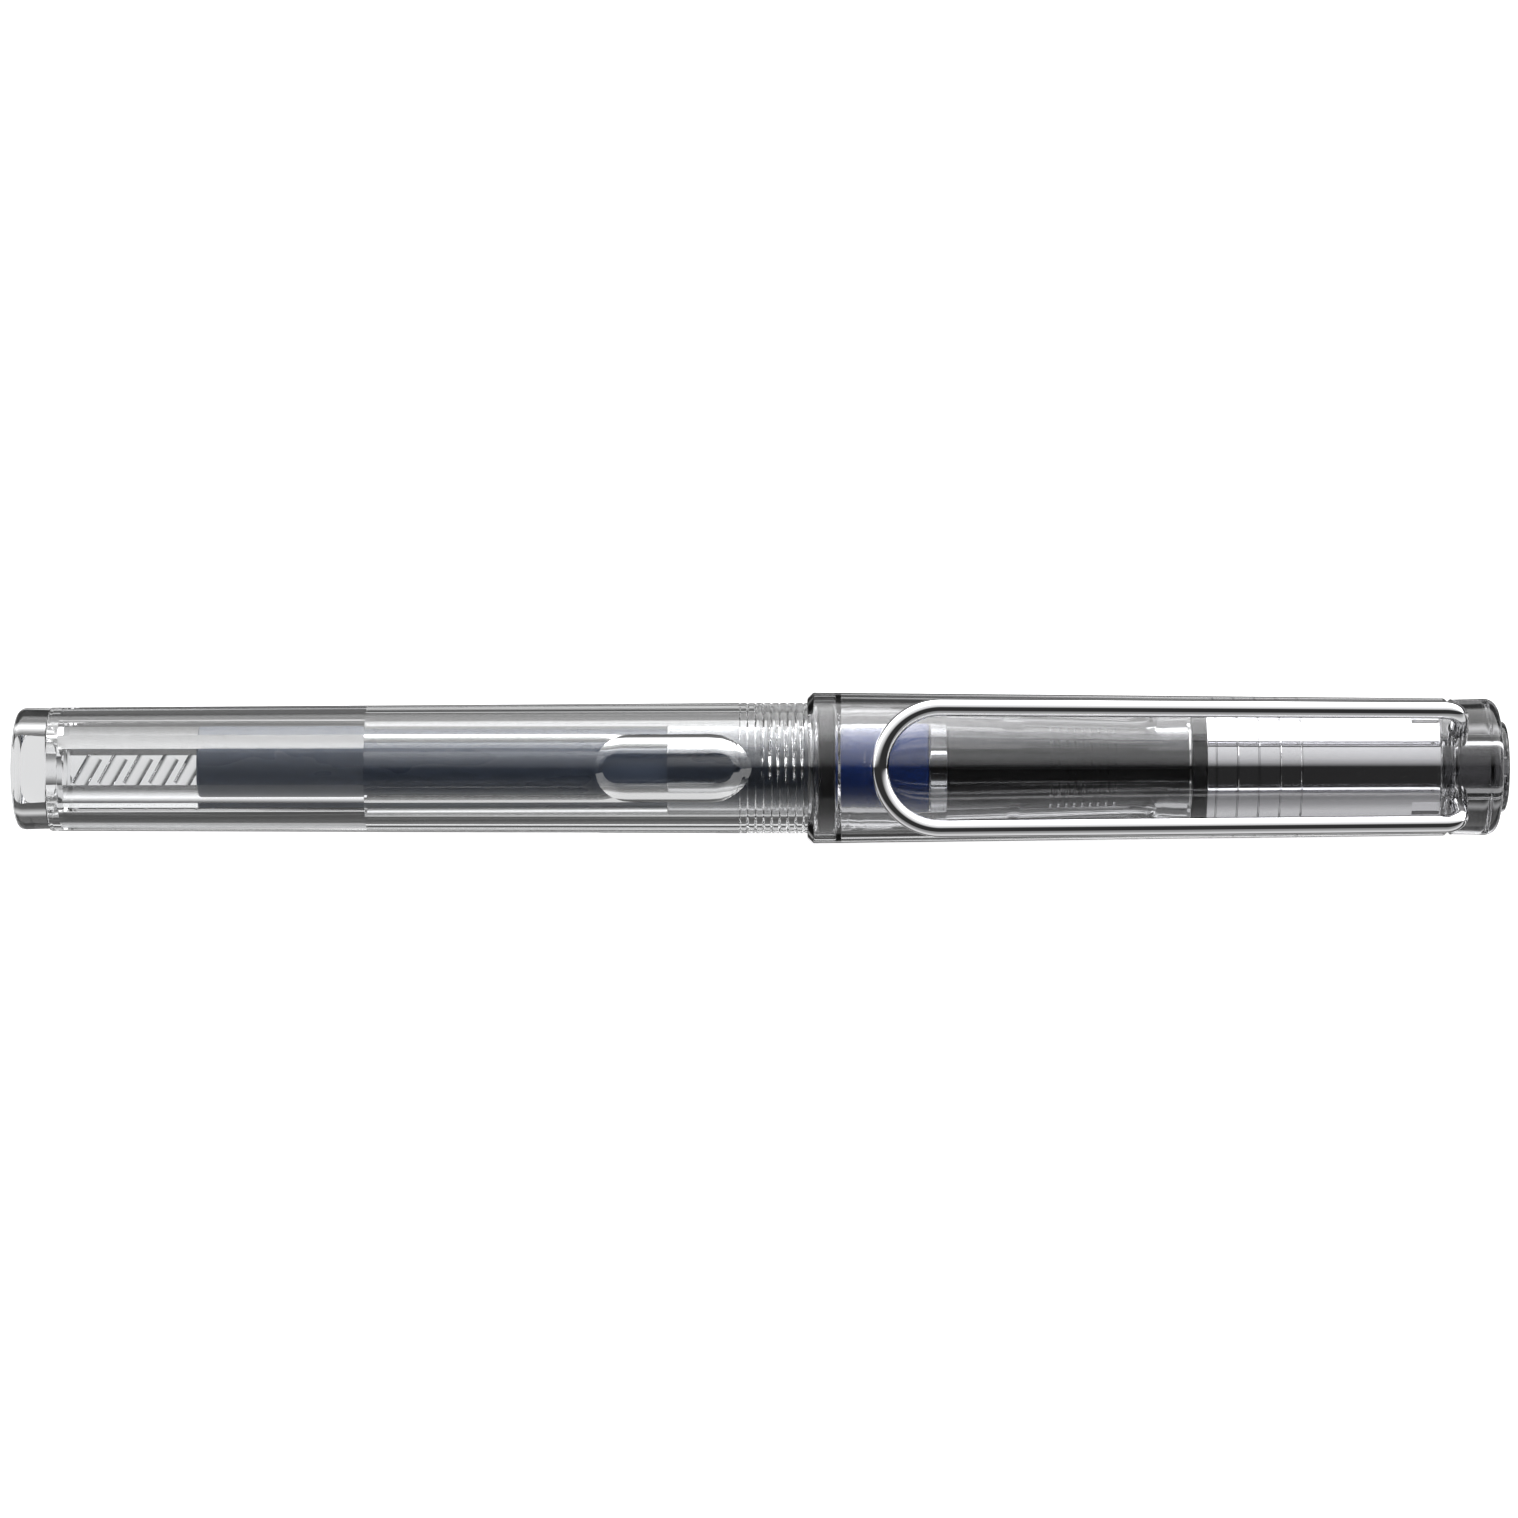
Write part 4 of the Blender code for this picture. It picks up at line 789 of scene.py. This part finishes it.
def make_nib():
    columns, rows = 48, 90
    shape = bmesh.new()
    grid = []
    for row in range(rows + 1):
        x = NIB_TAIL + (NIB_TIP - NIB_TAIL) * row / rows
        half_width, crown, arc = nib_line(x)
        reach = math.asin(min(1.0, half_width / arc))
        line = []
        for column in range(columns + 1):
            angle = reach * (2 * column / columns - 1)
            line.append(shape.verts.new((x, arc * math.sin(angle), crown - arc * (1 - math.cos(angle)))))
        grid.append(line)
    for lower, upper in zip(grid, grid[1:]):
        for i in range(columns):
            shape.faces.new((lower[i], upper[i], upper[i + 1], lower[i + 1]))
    nib = from_bmesh("nib_look", shape)
    sheet = nib.modifiers.new("thickness", "SOLIDIFY")
    sheet.thickness = NIB_THICKNESS * MM * 0.96
    sheet.offset = 1.0
    bpy.context.view_layer.update()
    ready = nib.evaluated_get(bpy.context.evaluated_depsgraph_get())
    mesh = bpy.data.meshes.new_from_object(ready)
    nib.modifiers.clear()
    nib.data = mesh
    hole = NOSE + (NIB_TIP - NOSE) * 0.42
    cut(
        nib,
        rod("breather", (hole, 0, 0), (hole, 0, 8), 0.42, 48),
        box("slit", (hole, -NIB_SLIT, 0), (NIB_TIP + 4, NIB_SLIT, 8)),
    )
    wear(nib, "section", "nib", STEEL)

    low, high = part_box("nib_tipping")
    centre = ((low + high) / 2 - AXIS) / MM
    radius = (high.x - low.x) / 2 / MM
    shape = bmesh.new()
    bmesh.ops.create_uvsphere(shape, u_segments=32, v_segments=20, radius=radius)
    bmesh.ops.translate(shape, vec=centre, verts=shape.verts)
    wear(from_bmesh("tipping_look", shape), "section", "nib_tipping", STEEL)


def make_seals():
    seal = turned(
        "seal_ring_look",
        rounded(
            [
                (SEAL_FRONT, SLEEVE_RADIUS + SLIDE_GAP),
                (SEAL_TAIL, SLEEVE_RADIUS + SLIDE_GAP),
                (SEAL_TAIL, SEAL_RADIUS, 0.35),
                (SEAL_FRONT, SEAL_RADIUS, 0.35),
            ]
        ),
    )
    wear(seal, "seal", "barrel_seal_ring", RUBBER)
    bore = CAP_SEAL_RADIUS - CAP_SEAL_HEIGHT
    cap_seal = turned(
        "cap_seal_look",
        rounded(
            [
                (CAP_SEAL_FRONT, bore, 0.2),
                (CAP_SEAL_TAIL, bore, 0.2),
                (CAP_SEAL_TAIL, CAP_SEAL_RADIUS, 0.1),
                (CAP_SEAL_FRONT, CAP_SEAL_RADIUS, 0.1),
            ]
        ),
    )
    wear(cap_seal, "cap", "inner_cap_seal", RUBBER)


# ---------------------------------------------------------------- cartridge


def make_cartridge():
    mouth_tail = CARTRIDGE_FRONT - CARTRIDGE_MOUTH_LENGTH
    shell = turned(
        "cartridge_look",
        rounded(
            [
                (CARTRIDGE_TAIL + CARTRIDGE_END, 0.0),
                (CARTRIDGE_TAIL + CARTRIDGE_END, CARTRIDGE_BORE, 0.3),
                (mouth_tail, CARTRIDGE_BORE, 0.2),
                (mouth_tail, CARTRIDGE_MOUTH_RADIUS),
                (CARTRIDGE_FRONT, CARTRIDGE_MOUTH_RADIUS),
                (CARTRIDGE_FRONT, CARTRIDGE_RADIUS, 0.35),
                (CARTRIDGE_TAIL, CARTRIDGE_RADIUS, 0.35),
                (CARTRIDGE_TAIL, 0.0),
            ]
        ),
    )
    wear(shell, "cartridge", "cartridge_shell", MILKY)

    low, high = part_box("cartridge_seal_ball")
    centre = ((low + high) / 2 - AXIS) / MM
    radius = (high.x - low.x) / 2 / MM
    shape = bmesh.new()
    bmesh.ops.create_uvsphere(shape, u_segments=48, v_segments=32, radius=radius)
    bmesh.ops.translate(shape, vec=centre, verts=shape.verts)
    wear(from_bmesh("ball_look", shape), "cartridge", "cartridge_seal_ball", BLACK)

    ink = turned(
        "ink_look",
        [(INK_FRONT, 0.0), (INK_FRONT, INK_RADIUS), (INK_TAIL, INK_RADIUS), (INK_TAIL, 0.0)],
    )
    pocket = bmesh.new()
    bmesh.ops.create_uvsphere(pocket, u_segments=48, v_segments=32, radius=radius + SLIDE_GAP)
    bmesh.ops.translate(pocket, vec=centre, verts=pocket.verts)
    cut(ink, from_bmesh("pocket", pocket))
    wear(ink, "cartridge", "ink_charge", INK)


# ---------------------------------------------------------------- cap


def clip_height_at(x):
    middle = CLIP_TAIL + WIRE_RADIUS
    share = max(0.0, min(1.0, (x - middle) / (CLIP_ROOT - middle)))
    rest = cap_radius_at(middle) + CLIP_TOUCH_GAP + WIRE_RADIUS
    return rest + CLIP_CROWN * math.sin(math.pi * share)


def clip_direction():
    return Vector((0.0, CLIP_ROOT_HALF_WIDTH, clip_height_at(CLIP_ROOT))).normalized()


def clip_hole(name, side):
    along = clip_direction()
    along.y *= side
    root = Vector((CLIP_ROOT, 0, 0))
    inner = root + along * (cap_radius_at(CLIP_ROOT) - CLIP_ANCHOR - CLIP_HOLE_GAP)
    outer = root + along * (cap_radius_at(CLIP_ROOT) + 2)
    return rod(name, inner, outer, WIRE_RADIUS + CLIP_HOLE_GAP, 64)


def make_cap():
    bore_at_step = CAP_BORE_AT_LIP - CAP_STEP
    profile = [
        (CAP_LIP, CAP_BORE_AT_LIP, 0.05),
        (CAP_LIP, CAP_LIP_RADIUS - CAP_CHAMFER + 0.006, 0.03),
        (CAP_LIP + CAP_CHAMFER, cap_radius_at(CAP_LIP + CAP_CHAMFER), 0.10),
        (CAP_END - CAP_END_CHAMFER, cap_radius_at(CAP_END - CAP_END_CHAMFER), 0.12),
        (CAP_END, CAP_END_RADIUS - CAP_END_CHAMFER, 0.04),
        (CAP_END, CAP_BORE),
    ]
    for ring in reversed(range(CAP_RING_COUNT)):
        start = CAP_RING_START + CAP_RING_PITCH * ring
        profile += [
            (start + CAP_RING_WIDTH, CAP_BORE),
            (start + 0.75 * CAP_RING_WIDTH, CAP_BORE + CAP_RING_DEPTH),
            (start + 0.25 * CAP_RING_WIDTH, CAP_BORE + CAP_RING_DEPTH),
            (start, CAP_BORE),
        ]
    profile += [
        (CAP_SEAL_TAIL - SEAT_GAP, CAP_BORE),
        (CAP_STEP_PLACE + CAP_STEP, bore_at_step, 0.1),
        (CAP_STEP_PLACE, CAP_BORE_AT_LIP, 0.1),
    ]
    cap = turned("cap_look", rounded(profile))
    cut(cap, clip_hole("hole_left", 1), clip_hole("hole_right", -1))
    wear(cap, "cap", "cap_shell", SMOKE)

    inner = turned(
        "inner_cap_look",
        rounded(
            [
                (INNER_CAP_BACK - INNER_CAP_END, 0.0),
                (INNER_CAP_BACK - INNER_CAP_END, INNER_CAP_RADIUS - INNER_CAP_WALL - INNER_CAP_TAPER, 0.3),
                (INNER_CAP_RIM, INNER_CAP_RADIUS - INNER_CAP_WALL, 0.1),
                (INNER_CAP_RIM, INNER_CAP_RADIUS, 0.1),
                (INNER_CAP_BACK, INNER_CAP_RADIUS - INNER_CAP_TAPER, 0.15),
                (INNER_CAP_BACK, 0.0),
            ]
        ),
    )
    floor = INNER_CAP_RADIUS - INNER_CAP_TAPER - KEYWAY_DEPTH
    half = KEYWAY_HALF_WIDTH
    keys = []
    for key in range(KEYWAY_COUNT):
        turn = Matrix.Rotation(math.pi / 4 + 2 * math.pi / KEYWAY_COUNT * key, 4, "X")
        rings = []
        for x in (INNER_CAP_BACK - KEYWAY_LENGTH, INNER_CAP_BACK + 1):
            corners = ((x, -half, floor), (x, half, floor), (x, half, floor + 1), (x, -half, floor + 1))
            rings.append([turn @ Vector(corner) for corner in corners])
        keys.append(lofted(f"key_{key}", rings))
    cut(inner, *keys)
    wear(inner, "cap", "inner_cap", CHROME)


def make_finial():
    spigot = CAP_BORE - FINIAL_SPIGOT_GAP
    profile = [
        (FINIAL_END, STEM_RADIUS + SEAT_GAP),
        (SPIGOT_TAIL, STEM_RADIUS + SEAT_GAP),
        (SPIGOT_TAIL, spigot, 0.1),
        (FINIAL_START, spigot),
        (FINIAL_START, FINIAL_RADIUS - CAP_END_CHAMFER, 0.04),
        (FINIAL_START + CAP_END_CHAMFER, FINIAL_RADIUS, 0.1),
    ]
    outline = rounded(profile)
    for step in range(17):
        angle = math.pi / 2 * step / 16
        outline.append(
            (
                FINIAL_END - FINIAL_CORNER * (1 - math.sin(angle)),
                FINIAL_RADIUS - FINIAL_CORNER * (1 - math.cos(angle)),
            )
        )
    finial = turned("finial_look", outline)
    cut(finial, clip_hole("finial_hole_left", 1), clip_hole("finial_hole_right", -1))
    wear(finial, "cap", "finial", DARK_SMOKE)

    plug = turned(
        "finial_plug_look",
        rounded(
            [
                (PEN_END, 0.0),
                (PEN_END, HEAD_RADIUS, 0.45),
                (PEN_END - HEAD_LENGTH, HEAD_RADIUS, 0.05),
                (PEN_END - HEAD_LENGTH, STEM_RADIUS),
                (STEM_TAIL, STEM_RADIUS, 0.1),
                (STEM_TAIL, 0.0),
            ]
        ),
        FINE,
    )
    half, reach, deep = CROSS_HALF_WIDTH, CROSS_REACH, SLOT_HALF_LENGTH
    floor = PEN_END - CROSS_DEPTH
    top = PEN_END + 1
    cut(
        plug,
        box("arm_across", (floor, -reach, -half), (top, reach, half)),
        box("arm_up", (floor, -half, -reach), (top, half, reach)),
        box("arm_deep", (PEN_END - SLOT_DEPTH, -deep, -half), (top, deep, half)),
    )
    wear(plug, "cap", "finial_plug", DARK_SMOKE)


def make_clip():
    along = clip_direction()
    root = Vector((CLIP_ROOT, 0, 0))
    corner = root + along * (CLIP_ROOT_HALF_WIDTH / along.y)
    inner = cap_radius_at(CLIP_ROOT) - CLIP_ANCHOR
    points = [root + along * inner, root + along * (inner + CLIP_ANCHOR)]
    bend_steps = 16
    for step in range(bend_steps + 1):
        angle = math.pi / 2 * step / bend_steps
        back = Vector((-1, 0, 0)) * CLIP_BEND * (1 - math.cos(angle))
        points.append(corner + back - along * CLIP_BEND * (1 - math.sin(angle)))
    bow_middle = CLIP_TAIL + WIRE_RADIUS + CLIP_BOW_HALF_WIDTH
    leg_tail = CLIP_ROOT - CLIP_BEND
    leg_steps = 24
    for step in range(1, leg_steps + 1):
        share = step / leg_steps
        x = leg_tail + (bow_middle - leg_tail) * share
        half_width = CLIP_ROOT_HALF_WIDTH + (CLIP_BOW_HALF_WIDTH - CLIP_ROOT_HALF_WIDTH) * share
        points.append(Vector((x, half_width, clip_height_at(x))))
    bow_steps = 32
    for step in range(1, bow_steps + 1):
        angle = math.pi / 2 * step / bow_steps
        x = bow_middle - CLIP_BOW_HALF_WIDTH * math.sin(angle)
        points.append(Vector((x, CLIP_BOW_HALF_WIDTH * math.cos(angle), clip_height_at(x))))
    line = points + [Vector((p.x, -p.y, p.z)) for p in reversed(points[:-1])]
    curve = bpy.data.curves.new("clip_look", "CURVE")
    curve.dimensions = "3D"
    curve.bevel_depth = WIRE_RADIUS * MM
    curve.bevel_resolution = 10
    curve.use_fill_caps = True
    spline = curve.splines.new("POLY")
    spline.points.add(len(line) - 1)
    for point, where in zip(spline.points, line):
        point.co = (*to_frame(where), 1)
    guide = bpy.data.objects.new("clip_guide", curve)
    bpy.context.scene.collection.objects.link(guide)
    bpy.context.view_layer.update()
    mesh = bpy.data.meshes.new_from_object(guide.evaluated_get(bpy.context.evaluated_depsgraph_get()))
    bpy.data.objects.remove(guide)
    shape = bmesh.new()
    shape.from_mesh(mesh)
    bmesh.ops.remove_doubles(shape, verts=shape.verts, dist=1e-7)
    shape.to_mesh(mesh)
    shape.free()
    clip = bpy.data.objects.new("clip_look", mesh)
    bpy.context.scene.collection.objects.link(clip)
    wear(clip, "clip", "clip_wire", CHROME, 40.0)


make_barrel()
make_end_plug()
make_section()
make_feed()
make_nib()
make_seals()
make_cartridge()
make_cap()
make_finial()
make_clip()

# ---------------------------------------------------------------- studio


def glowing(name, half_width, height, color, strength):
    """A square sheet that glows evenly. It is part of the studio."""
    shape = bmesh.new()
    bmesh.ops.create_grid(shape, x_segments=1, y_segments=1, size=half_width)
    bmesh.ops.translate(shape, vec=(0, 0, height), verts=shape.verts)
    mesh = bpy.data.meshes.new(name)
    shape.to_mesh(mesh)
    shape.free()
    made = bpy.data.objects.new(name, mesh)
    bpy.context.scene.collection.objects.link(made)
    paper = bpy.data.materials.new(name)
    paper.use_nodes = True
    shader = paper.node_tree.nodes["Principled BSDF"]
    shader.inputs["Base Color"].default_value = (0.8, 0.8, 0.8, 1)
    shader.inputs["Roughness"].default_value = 0.9
    shader.inputs["Emission Color"].default_value = (*color, 1)
    shader.inputs["Emission Strength"].default_value = strength
    mesh.materials.append(paper)
    return made


# How bright the studio is round the pen, by the angle in degrees about its axis: 0 is straight up,
# 90 is level on the +Y side, and 180 is straight down.
STUDIO = (
    (-180, 0.80),
    (-174, 0.76),
    (-169, 0.30),
    (-165, 0.06),
    (-161, 0.06),
    (-156, 1.30),
    (-151, 0.05),
    (-124, 0.04),
    (-119, 0.70),
    (-92, 0.70),
    (-76, 0.42),
    (-62, 0.28),
    (-52, 0.32),
    (-46, 0.03),
    (1, 0.03),
    (8, 0.45),
    (17, 0.75),
    (40, 1.10),
    (58, 3.00),
    (112, 3.40),
    (120, 0.20),
    (140, 0.05),
    (151, 0.05),
    (155, 0.70),
    (159, 0.06),
    (164, 0.06),
    (170, 0.30),
    (175, 0.76),
    (180, 0.80),
)
STUDIO_PEAK = 3.6


def make_world():
    """Soft light that changes only round the pen, as long strip lights beside it give."""
    world = bpy.data.worlds.new("studio")
    world.use_nodes = True
    tree = world.node_tree
    place = tree.nodes.new("ShaderNodeTexCoord")
    split = tree.nodes.new("ShaderNodeSeparateXYZ")
    angle = tree.nodes.new("ShaderNodeMath")
    angle.operation = "ARCTAN2"
    share = tree.nodes.new("ShaderNodeMapRange")
    share.inputs["From Min"].default_value = -math.pi
    share.inputs["From Max"].default_value = math.pi
    tree.links.new(place.outputs["Generated"], split.inputs["Vector"])
    tree.links.new(split.outputs["Y"], angle.inputs[0])
    tree.links.new(split.outputs["Z"], angle.inputs[1])
    tree.links.new(angle.outputs["Value"], share.inputs["Value"])
    stops = []
    for degrees, light in STUDIO:
        tone = light / STUDIO_PEAK
        stops.append(((degrees + 180) / 360, (tone, tone, tone)))
    color = ramp(tree, share.outputs["Result"], stops)
    back = tree.nodes["Background"]
    back.inputs["Strength"].default_value = STUDIO_PEAK
    tree.links.new(color, back.inputs["Color"])
    bpy.context.scene.world = world


def make_studio():
    floor = glowing("floor", 0.6, 0.0, (1, 1, 1), 0.95)
    floor.visible_transmission = False
    floor.visible_glossy = False
    make_world()


def make_camera():
    distance = 0.50
    picture_width = 141.6 * MM
    data = bpy.data.cameras.new("camera")
    data.sensor_width = 36.0
    data.lens = data.sensor_width * distance / picture_width
    data.clip_start = 0.05
    data.clip_end = 10.0
    camera = bpy.data.objects.new("camera", data)
    camera.location = (-0.055 * MM, 0.84 * MM, AXIS.z + distance)
    camera.rotation_euler = (0, 0, math.radians(-0.095))
    bpy.context.scene.collection.objects.link(camera)
    bpy.context.scene.camera = camera


make_studio()
make_camera()

scene = bpy.context.scene
scene.view_settings.view_transform = "Standard"
scene.cycles.max_bounces = 32
scene.cycles.transmission_bounces = 32
scene.cycles.glossy_bounces = 12
scene.cycles.transparent_max_bounces = 32
